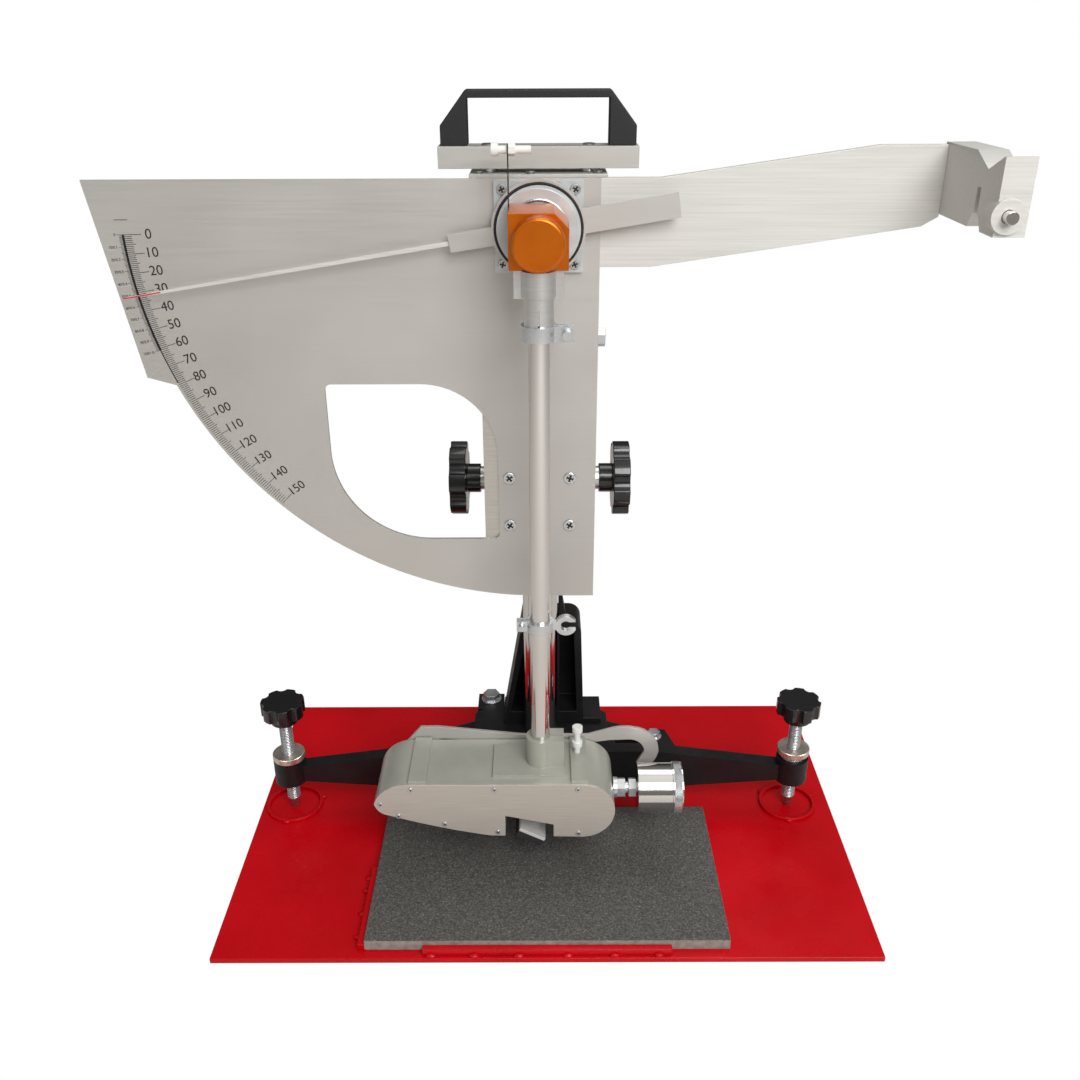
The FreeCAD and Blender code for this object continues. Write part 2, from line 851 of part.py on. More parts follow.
def column_bracket():
    low = s.beam_top
    wall = s.bracket_wall
    top = s.bracket_top
    corner = s.bracket_corner
    body = plate("XZ", [[
        (-s.bracket_left_low, low),
        (s.bracket_right_low, low),
        (s.bracket_right_top, top - corner, corner, 1),
        (s.bracket_right_top - corner, top),
        (-s.bracket_left_top, top),
    ]], s.bracket_front, s.bracket_back)
    flange = box((-s.bracket_left_low, s.bracket_flange_reach), (s.bracket_front, s.bracket_back),
                 (low, low + s.bracket_flange))
    ear = plate("XZ", [[
        (s.post_radius + 1, top - 2),
        (s.post_radius + 9, top - 2),
        (s.post_radius + 5, top + 20),
        (s.post_radius + 1, top + 20),
    ]], s.bracket_front + 6, s.bracket_front + 18)
    pocket_low = low + 2 * wall
    pocket_top = top - wall
    right_pocket = plate("XZ", [[
        (s.post_radius + 2, pocket_low),
        (s.bracket_right_low - wall, pocket_low),
        (s.bracket_right_top - wall, pocket_top - corner / 2),
        (s.bracket_right_top - wall - corner / 2, pocket_top),
        (s.post_radius + 2, pocket_top),
    ]], s.bracket_front - 1, s.bracket_back - wall)
    left_pocket = plate("XZ", [[
        (-s.bracket_left_low + wall, pocket_low),
        (-s.post_radius + 1, pocket_low),
        (-s.post_radius + 1, pocket_top - 30),
        (-s.bracket_left_top, pocket_top - 30),
    ]], s.bracket_front - 1, s.bracket_back - wall)
    channel = rod("Z", (0, s.post_row), low - 1, top + 25, s.post_radius + s.seat_play)
    sub_part("column_bracket", cut(fuse(body, flange, ear), right_pocket, left_pocket, channel))


PITCH = s.tooth_module * math.pi
RACK_FACE = s.rack_root + s.rack_thick
RACK_COUNT = s.rack_teeth_below + s.rack_teeth_above + 1
RACK_HEIGHT = RACK_COUNT * PITCH
RACK_LOW = KNOB_HEIGHT - (s.rack_teeth_below + 0.5) * PITCH
PINION_RADIUS = s.pinion_teeth * s.tooth_module / 2
SHAFT_ROW = RACK_FACE - s.tooth_module + PINION_RADIUS


def column_post():
    post = rod("Z", (0, s.post_row), s.post_foot, POST_TOP, s.post_radius)
    rim = s.post_row + s.post_radius
    rack_slot = box((-s.rack_width / 2, s.rack_width / 2), (s.rack_root, rim + 1),
                    (RACK_LOW, RACK_LOW + RACK_HEIGHT))
    sub_part("column_post", cut(post, rack_slot))


def height_rack():
    """A rack with a tooth gap at the pinion's height, and the rest of its gaps in step with it."""
    body = doc.addObject("PartDesign::Body", "Rack")
    start = RACK_LOW
    blank = sketch(body, "YZ", [rectangle(s.rack_root, start, RACK_FACE, start + RACK_HEIGHT)])
    pad = body.newObject("PartDesign::Pad", "Blank")
    pad.Profile = blank
    bind(pad, "Length", s.rack_width)
    body.Tip = pad
    root = RACK_FACE - 2.25 * s.tooth_module
    middle = start + PITCH / 2
    gap = sketch(body, "YZ", [[
        (root, middle - PITCH * 0.14),
        (RACK_FACE + 1, middle - PITCH * 0.43),
        (RACK_FACE + 1, middle + PITCH * 0.43),
        (root, middle + PITCH * 0.14),
    ]])
    tooth_gap = body.newObject("PartDesign::Pocket", "Gap")
    tooth_gap.Profile = gap
    tooth_gap.Reversed = True
    bind(tooth_gap, "Length", s.rack_width)
    row = body.newObject("PartDesign::LinearPattern", "Teeth")
    row.Originals = [tooth_gap]
    row.Direction = (gap, ["V_Axis"])
    bind(row, "Length", RACK_HEIGHT - PITCH)
    bind(row, "Occurrences", RACK_COUNT)
    body.Tip = row
    sub_part("height_rack", place(body, -s.rack_width / 2, 0, 0))


# Height knobs with the pinion that climbs the rack, and the lock knob behind

def pinion_shaft():
    """Shaft along X; the pinion's teeth are pads in a polar pattern round it."""
    body = doc.addObject("PartDesign::Body", "Pinion")
    width = s.rack_width - 1
    root_radius = PINION_RADIUS - 1.35 * s.tooth_module
    core = sketch(body, "YZ", [], [(0, 0, root_radius)])
    blank = body.newObject("PartDesign::Pad", "Core")
    blank.Profile = core
    bind(blank, "Length", width)
    body.Tip = blank
    half_root = PITCH * 0.24
    half_tip = PITCH * 0.10
    tip_radius = PINION_RADIUS + 0.8 * s.tooth_module
    tooth = sketch(body, "YZ", [[
        (-tip_radius, -half_tip),
        (-tip_radius, half_tip),
        (-root_radius + 0.3, half_root),
        (-root_radius + 0.3, -half_root),
    ]])
    pad = body.newObject("PartDesign::Pad", "Tooth")
    pad.Profile = tooth
    bind(pad, "Length", width)
    teeth = body.newObject("PartDesign::PolarPattern", "Teeth")
    teeth.Originals = [pad]
    teeth.Axis = (tooth, ["N_Axis"])
    teeth.Angle = 360
    bind(teeth, "Occurrences", s.pinion_teeth)
    body.Tip = teeth
    gear = place(body, -width / 2, SHAFT_ROW, KNOB_HEIGHT)
    centre = (SHAFT_ROW, KNOB_HEIGHT)
    reach = s.side_hub_start + s.side_hub_length
    shaft = rod("X", centre, -reach, reach, s.shaft_radius)
    collar_start = s.head_half + s.collar_gap
    collars = [rod("X", centre, collar_start, s.side_hub_start, s.collar_radius),
               rod("X", centre, -s.side_hub_start, -collar_start, s.collar_radius)]
    sub_part("pinion_shaft", fuse(gear, shaft, *collars))


def height_knobs():
    for name, side in (("left", -1), ("right", 1)):
        knob = star_knob(s.side_knob_radius, s.side_knob_thick, s.side_hub_radius,
                         s.side_hub_length, s.shaft_radius, s.side_hub_length)
        turn = FreeCAD.Rotation(Y_AXIS, 90 * side)
        sub_part("height_knob_" + name, place(knob, side * s.side_hub_start, SHAFT_ROW, KNOB_HEIGHT, turn))


def lock_knob():
    seat = s.head_back + 2
    grip = s.lock_hub_length
    knob = star_knob(s.lock_knob_radius, s.lock_knob_thick, s.lock_hub_radius,
                     s.lock_hub_length, s.lock_screw_radius, grip)
    knob = place(knob, 0, seat, LOCK_HEIGHT, ALONG["Y"])
    start = s.post_row + s.post_radius + s.collar_gap
    screw = rod("Y", (0, LOCK_HEIGHT), start, seat + grip, s.lock_screw_radius)
    sub_part("head_lock_knob", fuse(knob, screw))


# Carriage housing, plates and handle

SCALE_FRONT = s.head_front - s.scale_thick
ARM_BACK = s.head_front + s.arm_thick
SPIGOT_BACK = SCALE_FRONT + s.spigot_length


def carriage_housing():
    wall = s.head_wall
    shell = box((-s.head_half, s.head_half), (s.head_front, s.head_back), (HEAD_LOW, HEAD_TOP))
    inner_x = (-s.head_half + wall, s.head_half - wall)
    inner_y = (ARM_BACK + wall, s.head_back - wall)
    lower_room = box(inner_x, inner_y, (HEAD_LOW + s.head_web, HEAD_WEB_LOW))
    upper_room = box(inner_x, inner_y, (HEAD_WEB_LOW + s.head_web, HEAD_TOP - wall))
    arm_seat = box((-s.head_half + wall, s.head_half + 1), (s.head_front - 1, ARM_BACK),
                   (ARM_LOW - 1, HEAD_TOP + 1))
    post_hole = rod("Z", (0, s.post_row), HEAD_LOW - 1, HEAD_WEB_LOW + s.head_web + 1,
                    s.post_radius + s.slide_play)
    rack_way = box((-s.rack_width / 2 - 1, s.rack_width / 2 + 1), (s.post_row, RACK_FACE + 1),
                   (HEAD_LOW - 1, HEAD_WEB_LOW + s.head_web + 1))
    shaft_hole = rod("X", (SHAFT_ROW, KNOB_HEIGHT), -s.head_half - 1, s.head_half + 1,
                     s.shaft_radius + s.running_play)
    lock_hole = rod("Y", (0, LOCK_HEIGHT), s.post_row, s.head_back + 1,
                    s.lock_screw_radius + s.thread_play)
    spigot_hole = rod("Y", (0, s.pivot_height), s.head_front - 1, s.head_front + s.spigot_length + 9,
                      s.spigot_radius + s.seat_play)
    solid = cut(shell, lower_room, upper_room, arm_seat, post_hole, rack_way, shaft_hole, lock_hole,
                spigot_hole)
    sub_part("carriage_housing", solid)
    over = s.top_plate_over
    sub_part("carriage_top_plate", box((-s.head_half - over, s.head_half + over),
                                       (s.head_front, s.head_back),
                                       (HEAD_TOP, HEAD_TOP + s.top_plate_thick)))
    bolt_seat = s.head_half
    bolt_centre = (s.post_row - s.post_radius, CLAMP_BOLT_HEIGHT)
    washer = rod("X", bolt_centre, bolt_seat, bolt_seat + 1, s.bolt_hex)
    head = hexagon("X", bolt_centre, bolt_seat + 1, bolt_seat + 1 + s.bolt_head, s.bolt_hex * 0.9)
    sub_part("carriage_bolt", fuse(washer, head))


def scale_outline():
    """Outer edge of the scale plate: a quadrant about the pivot with a straight tab at its left."""
    low = s.pivot_height - s.scale_radius
    notch_x = s.scale_radius * cosine(s.scale_notch_angle)
    notch_z = s.pivot_height - s.scale_radius * sine(s.scale_notch_angle)
    return [
        (s.head_half, low),
        (s.head_half, HEAD_TOP),
        (-s.scale_left, HEAD_TOP),
        (-s.scale_tab_x, SCALE_TAB_Z),
        (-notch_x, notch_z, s.scale_radius, 1),
        (0, low),
    ]


def scale_window():
    """The hand hole, with one large rounded corner below and one above."""
    left, right = -s.window_left, -s.window_right
    low, high = WINDOW_BOTTOM, WINDOW_TOP
    corner, big, top = s.window_corner, s.window_big_corner, s.window_top_corner
    return [
        (left, low + big, big, 1),
        (left + big, low),
        (right - corner, low, corner, 1),
        (right, low + corner),
        (right, high - top, top, 1),
        (right - top, high),
        (left + corner, high, corner, 1),
        (left, high - corner),
    ]


def scale_plate():
    screw_places = [(x, z) for x in (-s.plate_screw_x, s.plate_screw_x)
                    for z in (PLATE_SCREW_LOW, PLATE_SCREW_HIGH)]
    holes = [(x, z, s.plate_screw_radius) for x, z in screw_places]
    holes.append((0, s.pivot_height, s.spigot_radius + s.seat_play))
    panel = plate("XZ", [scale_outline(), scale_window()], SCALE_FRONT, s.head_front, holes)
    sub_part("scale_plate", panel)
    screws = [rod("Y", centre, SCALE_FRONT - s.screw_proud, s.head_front, s.plate_screw_radius)
              for centre in screw_places]
    offset = s.flange_screw_offset
    front = SCALE_FRONT - s.flange_thick
    for x in (-offset, offset):
        for z in (s.pivot_height - offset, s.pivot_height + offset):
            screws.append(rod("Y", (x, z), front - s.screw_proud, SCALE_FRONT, s.flange_screw_radius))
    sub_part("faceplate_screws", group(*screws))


def carry_handle():
    base = HEAD_TOP + s.top_plate_thick
    bar_low = base + s.spacer_height
    bar_top = bar_low + s.handle_bar_thick
    row = s.handle_row
    spacers = [rod("Z", (x, row), base, bar_low, s.spacer_radius) for x in (-s.spacer_x, s.spacer_x)]
    sub_part("handle_spacers", group(*spacers))
    sub_part("handle_bar", box((-s.handle_bar_half, s.handle_bar_half),
                               (row - s.handle_bar_depth / 2, row + s.handle_bar_depth / 2),
                               (bar_low, bar_top)))
    half, grip_half = s.handle_half, s.handle_grip_half
    inner = half - s.handle_leg
    shoulder = bar_top + s.handle_shoulder
    top = bar_top + s.handle_height
    under = top - s.handle_grip
    grip = plate("XZ", [[
        (-half, bar_top),
        (-inner, bar_top),
        (-inner, under),
        (inner, under),
        (inner, bar_top),
        (half, bar_top),
        (half, shoulder),
        (grip_half, top),
        (-grip_half, top),
        (-half, shoulder),
    ]], row - s.handle_depth / 2, row + s.handle_depth / 2)
    sub_part("carry_handle", grip)


# Release arm and catch

CATCH_RIGHT = s.catch_left + s.catch_width
CATCH_HEIGHT = s.pivot_height + s.catch_offset


def release_arm():
    top = HEAD_TOP
    far_top = top + s.arm_rise
    arm = plate("XZ", [[
        (-s.head_half + s.head_wall + 1, ARM_LOW),
        (s.arm_bend - 6, ARM_LOW),
        (s.catch_left - 12, ARM_FAR_LOW),
        (s.catch_left, ARM_FAR_LOW + 7),
        (s.catch_left, far_top),
        (s.arm_bend_far, far_top),
        (s.arm_bend, top),
        (-s.head_half + s.head_wall + 1, top),
    ]], s.head_front, ARM_BACK, [(0, s.pivot_height, s.spigot_radius + s.seat_play)])
    sub_part("release_arm", arm)


def catch_block():
    low, high = CATCH_LOW, CATCH_HIGH
    groove = s.catch_groove_half
    vee = s.catch_vee_row
    block = plate("YZ", [[
        (s.catch_front, low),
        (-groove, low),
        (-s.catch_groove_top_half, low + s.catch_groove_depth),
        (-s.catch_slot_half, low + s.catch_groove_depth),
        (-s.catch_slot_half, CATCH_SLOT_TOP),
        (s.catch_slot_half, CATCH_SLOT_TOP),
        (s.catch_slot_half, low + s.catch_groove_depth),
        (s.catch_groove_top_half, low + s.catch_groove_depth),
        (groove, low),
        (ARM_BACK, low),
        (ARM_BACK, high),
        (vee + s.catch_vee_half, high),
        (vee, high - s.catch_vee_depth),
        (vee - s.catch_vee_half, high),
        (s.catch_front, high),
    ]], s.catch_left, CATCH_RIGHT)
    centre = (s.catch_radius, CATCH_HEIGHT)
    pin_way = rod("Y", centre, s.catch_front - 1, s.release_tail + s.release_travel + 1,
                  s.release_neck_radius + s.running_play)
    bush_seat = rod("Y", centre, s.catch_front - 1, s.catch_front + s.bush_length - 3,
                    s.bush_radius + s.seat_play)
    sub_part("catch_block", cut(block, pin_way, bush_seat))
    front = s.catch_front - 3
    floor = front + s.bush_length - 4
    bush = rod("Y", centre, front, front + s.bush_length, s.bush_radius)
    recess = rod("Y", centre, front - 1, floor, s.release_button_radius + s.seat_play * 10)
    hole = rod("Y", centre, front - 1, front + s.bush_length + 1, s.release_pin_radius + s.running_play)
    sub_part("release_bush", cut(bush, recess, hole))
    shoulder = floor - s.release_travel - s.collar_gap
    button = rod("Y", centre, shoulder - s.release_button_length, shoulder, s.release_button_radius)
    pin = rod("Y", centre, shoulder - 1, s.release_tail, s.release_pin_radius)
    neck = rod("Y", centre, -s.release_neck_half, s.release_neck_half, s.release_neck_radius)
    sub_part("release_bolt", fuse(button, pin, neck))


# Bearing housing round the spindle

FLANGE_FRONT = SCALE_FRONT - s.flange_thick
NOSE_FRONT = FLANGE_FRONT - s.nose_length


def bearing_housing():
    half = s.flange_half
    centre = (0, s.pivot_height)
    flange = box((-half, half), (FLANGE_FRONT, SCALE_FRONT), (s.pivot_height - half, s.pivot_height + half))
    nose = rod("Y", centre, NOSE_FRONT, FLANGE_FRONT, s.nose_radius)
    spigot = rod("Y", centre, SCALE_FRONT, SPIGOT_BACK, s.spigot_radius)
    bore = rod("Y", centre, NOSE_FRONT - 1, SPIGOT_BACK + 1, s.bearing_radius + s.seat_play)
    offset = s.flange_screw_offset
    holes = [rod("Y", (x, s.pivot_height + z), FLANGE_FRONT - 1, SCALE_FRONT + 1,
                 s.flange_screw_radius + s.seat_play)
             for x in (-offset, offset) for z in (-offset, offset)]
    sub_part("bearing_housing", cut(fuse(flange, nose, spigot), bore, *holes))
    rings = []
    for start in (NOSE_FRONT + 1, SPIGOT_BACK - 1 - s.bearing_width):
        ring = rod("Y", centre, start, start + s.bearing_width, s.bearing_radius)
        hole = rod("Y", centre, start - 1, start + s.bearing_width + 1, s.spindle_radius + s.running_play)
        rings.append(cut(ring, hole))
    sub_part("spindle_bearings", group(*rings))
    cover = rod("Y", centre, NOSE_FRONT - s.cover_thick, NOSE_FRONT, s.cover_radius)
    step = rod("Y", centre, NOSE_FRONT - s.cover_thick - 1, NOSE_FRONT + 1, s.spindle_radius + 3)
    sub_part("bearing_cover", cut(cover, step))


# Pointer, built pointing along -X from its own pivot and then tilted to its reading

def pointer():
    front = s.pointer_ring_front
    back = front + s.pointer_ring_width
    ring = rod("Y", (0, 0), front, back, s.pointer_ring_radius)
    tail_front = front + 1.5
    tail = box((s.tail_start, s.tail_end), (tail_front, tail_front + s.tail_thick),
               (-s.tail_height / 2, s.tail_height / 2))
    holder = box((-s.holder_end, -s.holder_start), (front, back),
                 (-s.holder_height / 2, s.holder_height / 2))
    opening = rod("Y", (0, 0), front - 1, back + 1, s.nose_radius + s.running_play)
    slit_front = front + 2
    slit = box((-s.holder_end - 1, -s.needle_root + s.seat_play), (slit_front, slit_front + s.needle_thick),
               (-s.holder_height, s.holder_height))
    hub = cut(fuse(ring, tail, holder), opening, slit)
    sub_part("pointer_hub", tilted(hub))
    needle = plate("XZ", [[
        (-s.needle_root, -s.needle_root_half),
        (-s.needle_root, s.needle_root_half),
        (-s.needle_end, s.needle_tip_half),
        (-s.needle_end, s.needle_wire_half),
        (-s.needle_wire_end, s.needle_wire_half),
        (-s.needle_wire_end, -s.needle_wire_half),
        (-s.needle_end, -s.needle_wire_half),
        (-s.needle_end, -s.needle_tip_half),
    ]], 0, s.needle_thick)
    sub_part("pointer_needle", tilted(needle, slit_front))


def tilted(thing, y=0):
    """Turn a piece about the pivot axis, needle end down, by the pointer's reading."""
    turn = FreeCAD.Rotation(-Y_AXIS, number_of(s.pointer_tilt))
    place(thing, 0, y, s.pivot_height, turn)
    bind(thing, "Placement.Rotation.Angle", Size(number_of(s.pointer_tilt), "Sizes.pointer_tilt * 1 deg"))
    return thing


# Pendulum: block, cap, collar, tube and clips

TUBE_FIT = s.tube_radius + s.seat_play


def pendulum_head():
    half, rise = s.block_half, s.block_rise
    low, high = s.pivot_height - rise, s.pivot_height + rise
    block = plate("XZ", [[
        (-half, low),
        (half, low),
        (half, high - s.block_chamfer),
        (half - s.block_chamfer, high),
        (-half, high),
    ]], s.block_front, s.block_back)
    centre = (0, s.pivot_height)
    spindle_seat = rod("Y", centre, s.block_front + 6, s.block_back + 1, s.spindle_radius + s.seat_play)
    sub_part("pivot_block", cut(block, spindle_seat))
    sub_part("spindle", rod("Y", centre, s.block_front + 6, SPIGOT_BACK + 3, s.spindle_radius))
    cap_front = s.block_front - s.cap_thick
    rim = cap_front + s.cap_bevel
    bevel = cone("Y", centre, cap_front, rim, s.cap_radius - s.cap_bevel, s.cap_radius)
    sub_part("pivot_cap", fuse(bevel, rod("Y", centre, rim, s.block_front, s.cap_radius)))
    yoke_low = low - s.yoke_height
    yoke = box((-s.yoke_half, s.yoke_half), (0, s.yoke_depth), (yoke_low, low))
    collar = rod("Z", (0, 0), low - s.collar_round_height, low, s.collar_round_radius)
    sleeve = rod("Z", (0, 0), SLEEVE_LOW, low - 1, s.sleeve_radius)
    tube_seat = rod("Z", (0, 0), SLEEVE_LOW - 1, TUBE_TOP, TUBE_FIT)
    slit = box((-0.6, 0.6), (-s.collar_round_radius, 0), (SLEEVE_LOW - 1, SLEEVE_LOW + 24))
    sub_part("tube_collar", cut(fuse(yoke, collar, sleeve), tube_seat, slit))


def tube_clamp():
    low = SLEEVE_LOW + 0.5
    high = low + s.clamp_height
    band = rod("Z", (0, 0), low, high, s.sleeve_radius + s.clamp_band)
    ear = box((s.sleeve_radius, s.clamp_ear_reach), (-s.clamp_ear_thick / 2 - 3, s.clamp_ear_thick / 2 - 3),
              (low, high))
    bore = rod("Z", (0, 0), low - 1, high + 1, s.sleeve_radius + s.seat_play)
    split = box((s.sleeve_radius - 1, s.clamp_ear_reach + 1), (-3.6, -2.4), (low - 1, high + 1))
    screw = rod("Y", (s.clamp_ear_reach - 5, (low + high) / 2), -s.clamp_ear_thick - 4.4, -2.5, 3.6)
    sub_part("tube_clamp", fuse(cut(fuse(band, ear), bore, split), screw))


def pendulum_tube():
    tube = rod("Z", (0, 0), s.tube_foot, TUBE_TOP, s.tube_radius)
    hollow = rod("Z", (0, 0), s.tube_foot - 1, TUBE_TOP + 1, s.tube_radius - s.tube_wall)
    sub_part("pendulum_tube", cut(tube, hollow))


def pusher():
    """Spring strip on the block's left side; its nylon screw pushes the pointer's tail."""
    face = -s.block_half
    low = s.pivot_height - s.block_rise
    strip = box((face - s.strip_thick, face), (s.strip_front, s.strip_front + s.strip_width),
                (low, STRIP_TOP))
    row = s.strip_front + s.strip_width / 2
    centre = (row, NYLON_HEIGHT)
    hole = rod("X", centre, face - s.strip_thick - 1, face + 1, s.nylon_radius + s.seat_play)
    sub_part("pusher_strip", cut(strip, hole))
    head, nut = s.nylon_head_radius, s.nylon_nut_height
    left = face - s.pusher_reach
    pusher_screw = fuse(
        rod("X", centre, left, face + s.pusher_length - s.pusher_reach, s.nylon_radius),
        rod("X", centre, left, left + nut, head),
        hexagon("X", centre, face, face + nut, head))
    top = s.foot_top + s.saddle_rise
    stop = ((s.saddle_left + s.saddle_right) / 2 - 1, s.stop_row)
    stop_screw = fuse(
        rod("Z", stop, top, top + s.stop_length, s.nylon_radius),
        rod("Z", stop, top + s.stop_length - nut, top + s.stop_length, head),
        rod("Z", stop, top + s.stop_nut_low, top + s.stop_nut_low + nut, head))
    sub_part("nylon_screws", group(pusher_screw, stop_screw))


def catch_clip():
    """Split clip on the tube with the open hook that the release bolt holds."""
    middle = s.pivot_height - s.catch_radius
    low, high = middle - s.clip_height / 2, middle + s.clip_height / 2
    outer = s.tube_radius + s.clip_band
    band = rod("Z", (0, 0), low, high, outer)
    ear = box((-outer - 8, -s.tube_radius), (-3.6, 3.6), (low, high))
    split = box((-outer - 9, -s.tube_radius + 1), (-0.6, 0.6), (low - 1, high + 1))
    bore = rod("Z", (0, 0), low - 1, high + 1, TUBE_FIT)
    half = s.hook_thick / 2
    ring = rod("Y", (s.catch_offset, middle), -half, half, s.hook_outer)
    neck = box((s.tube_radius, s.catch_offset - s.hook_inner), (-half, half),
               (middle - s.hook_mouth / 2, middle + s.hook_mouth / 2))
    eye = rod("Y", (s.catch_offset, middle), -half - 1, half + 1, s.hook_inner)
    mouth = box((s.catch_offset, s.catch_offset + s.hook_outer + 1), (-half - 1, half + 1),
                (middle - s.hook_mouth / 2, middle + s.hook_mouth / 2))
    screw = rod("Y", (-outer - 4, middle), -7.5, 5.5, 2.6)
    clip = cut(fuse(band, ear, ring, neck), split, bore, eye, mouth)
    sub_part("catch_clip", fuse(clip, screw))


# Pendulum foot

FOOT_END = (s.foot_top - s.foot_bottom) / 2
FOOT_MID = (s.foot_top + s.foot_bottom) / 2


def foot_outline(inset):
    """Side view of the foot, moved inwards all round by inset."""
    nose = s.foot_nose_x - inset
    end = FOOT_END - inset
    return [
        (s.foot_end_x, s.foot_bottom + inset, end, 1),
        (s.foot_end_x + end, FOOT_MID, end, 1),
        (s.foot_end_x, s.foot_top - inset),
        (-s.foot_shoulder_x, s.foot_top - inset, s.foot_nose_x - s.foot_shoulder_x + 2 - inset, 1),
        (-nose, s.foot_nose_z, 15 - inset, 1),
        (-s.foot_chin_x + inset * 0.6, s.foot_chin_z + inset * 0.8, 600.0, 1),
        (-s.foot_heel_x, s.foot_heel_z + inset),
    ]


def foot_notch(front, back):
    return plate("XZ", [[
        (-s.notch_left, s.foot_bottom - 1),
        (s.notch_right, s.foot_bottom - 1),
        (s.notch_right, s.notch_right_z),
        (-s.notch_left, s.notch_left_z),
    ]], front, back)


def pendulum_foot():
    half = s.foot_half_depth
    cover_back = -half + s.foot_cover
    wall = s.foot_wall
    top = s.foot_top
    shell = plate("XZ", [foot_outline(0)], cover_back, half)
    room = plate("XZ", [foot_outline(wall)], cover_back - 1, half - wall)
    bare = cut(shell, room, foot_notch(cover_back - 2, half + 1))
    boss_top = top + s.boss_height
    boss = rod("Z", (0, 0), top - wall, boss_top, s.collar_round_radius)
    lug = box((0, s.boss_lug_reach), (-s.boss_lug_depth / 2, s.boss_lug_depth / 2), (top - 1, boss_top))
    pad = box((-s.pad_left, s.pad_right), (-s.pad_front, s.pad_front), (top - 1, top + s.pad_rise))
    rib = box((-s.rib_left, -s.rib_left + s.rib_width), (cover_back, half), (top - 1, top + s.rib_rise))
    saddle = box((s.saddle_left, s.saddle_right), (cover_back, half), (top - wall / 2, top + s.saddle_rise))
    pivot = slider_pivot()
    slider_stub = rod("Y", pivot, -s.slider_bar_half - 4, half - 1, s.slider_pin_radius)
    lever_end = half + s.lever_gap + s.lever_thick + 2
    lever_stub = rod("Y", (-s.lever_pivot_x, s.lever_pivot_z), half - wall, lever_end, s.lever_pin_radius)
    tube_seat = rod("Z", (0, 0), s.tube_foot, boss_top + 1, TUBE_FIT)
    tube_way = rod("Z", (0, 0), top - wall - 1, s.tube_foot, s.tube_radius - s.tube_wall)
    boss_slit = box((s.tube_radius - 1, s.boss_lug_reach + 1), (-0.6, 0.6), (top + 3, boss_top + 1))
    solid = fuse(bare, boss, lug, pad, rib, saddle, slider_stub, lever_stub)
    sub_part("foot_housing", cut(solid, tube_seat, tube_way, boss_slit))
    cover = plate("XZ", [foot_outline(0)], -half, cover_back)
    sub_part("foot_cover", cut(cover, foot_notch(-half - 1, cover_back + 1)))
    edge = s.cover_screw_inset
    places = [(-s.rib_left + 2, top - edge), (-s.notch_left - 8.5, top - edge),
              (s.foot_end_x - 4, top - edge),
              (-s.foot_nose_x + 5.5, s.foot_nose_z), (-s.foot_chin_x + 8, s.foot_chin_z),
              (-s.foot_chin_x / 2 - s.foot_heel_x / 2 + 4, (s.foot_chin_z + s.foot_heel_z) / 2 + edge / 2),
              (-s.foot_heel_x + 6, s.foot_heel_z + edge), (s.foot_end_x - 3, s.foot_bottom + edge)]
    screws = [rod("Y", centre, -half - s.screw_proud, -half, s.cover_screw_radius) for centre in places]
    sub_part("foot_cover_screws", group(*screws))


def slider_pivot():
    """The arm's pivot: on the slider's own sloping centre line, at the chosen X."""
    tilt = s.slider_tilt
    stack = s.rubber_thick + s.backing_thick + s.slider_bar / 2
    run = s.slider_pivot_x + s.slider_edge_x + stack * sine(tilt)
    height = s.slider_edge_z + stack * cosine(tilt) + run * sine(tilt) / cosine(tilt)
    return -s.slider_pivot_x, height


def sloping_box(offset, low, high, thick, half_width):
    """A block on the slider's slope: low and high run back up the slope from the trailing edge."""
    tilt = s.slider_tilt
    thing = doc.addObject("Part::Box", "Slope")
    bind(thing, "Length", high - low)
    bind(thing, "Width", half_width * 2)
    bind(thing, "Height", thick)
    x = s.slider_edge_x - high * cosine(tilt) + offset * sine(tilt)
    z = s.slider_edge_z + high * sine(tilt) + offset * cosine(tilt)
    turn = FreeCAD.Rotation(Y_AXIS, number_of(tilt))
    place(thing, x, -half_width, z, turn)
    bind(thing, "Placement.Rotation.Angle", Size(number_of(tilt), "Sizes.slider_tilt * 1 deg"))
    return thing


def slider():
    sub_part("rubber_slider", sloping_box(0, 0, s.slider_length, s.rubber_thick, s.slider_half))
    backing = sloping_box(s.rubber_thick, 0, s.slider_length, s.backing_thick, s.slider_half)
    sub_part("slider_backing", backing)
    pivot = slider_pivot()
    seat = s.rubber_thick + s.backing_thick
    reach = s.slider_pivot_x / cosine(s.slider_tilt)
    bar = sloping_box(seat, 6, reach + 4, s.slider_bar, s.slider_bar_half)
    hub = rod("Y", pivot, -s.slider_bar_half, s.slider_bar_half, s.slider_hub_radius)
    bore = rod("Y", pivot, -s.slider_bar_half - 1, s.slider_bar_half + 1,
               s.slider_pin_radius + s.running_play)
    sub_part("slider_arm", cut(fuse(bar, hub), bore))


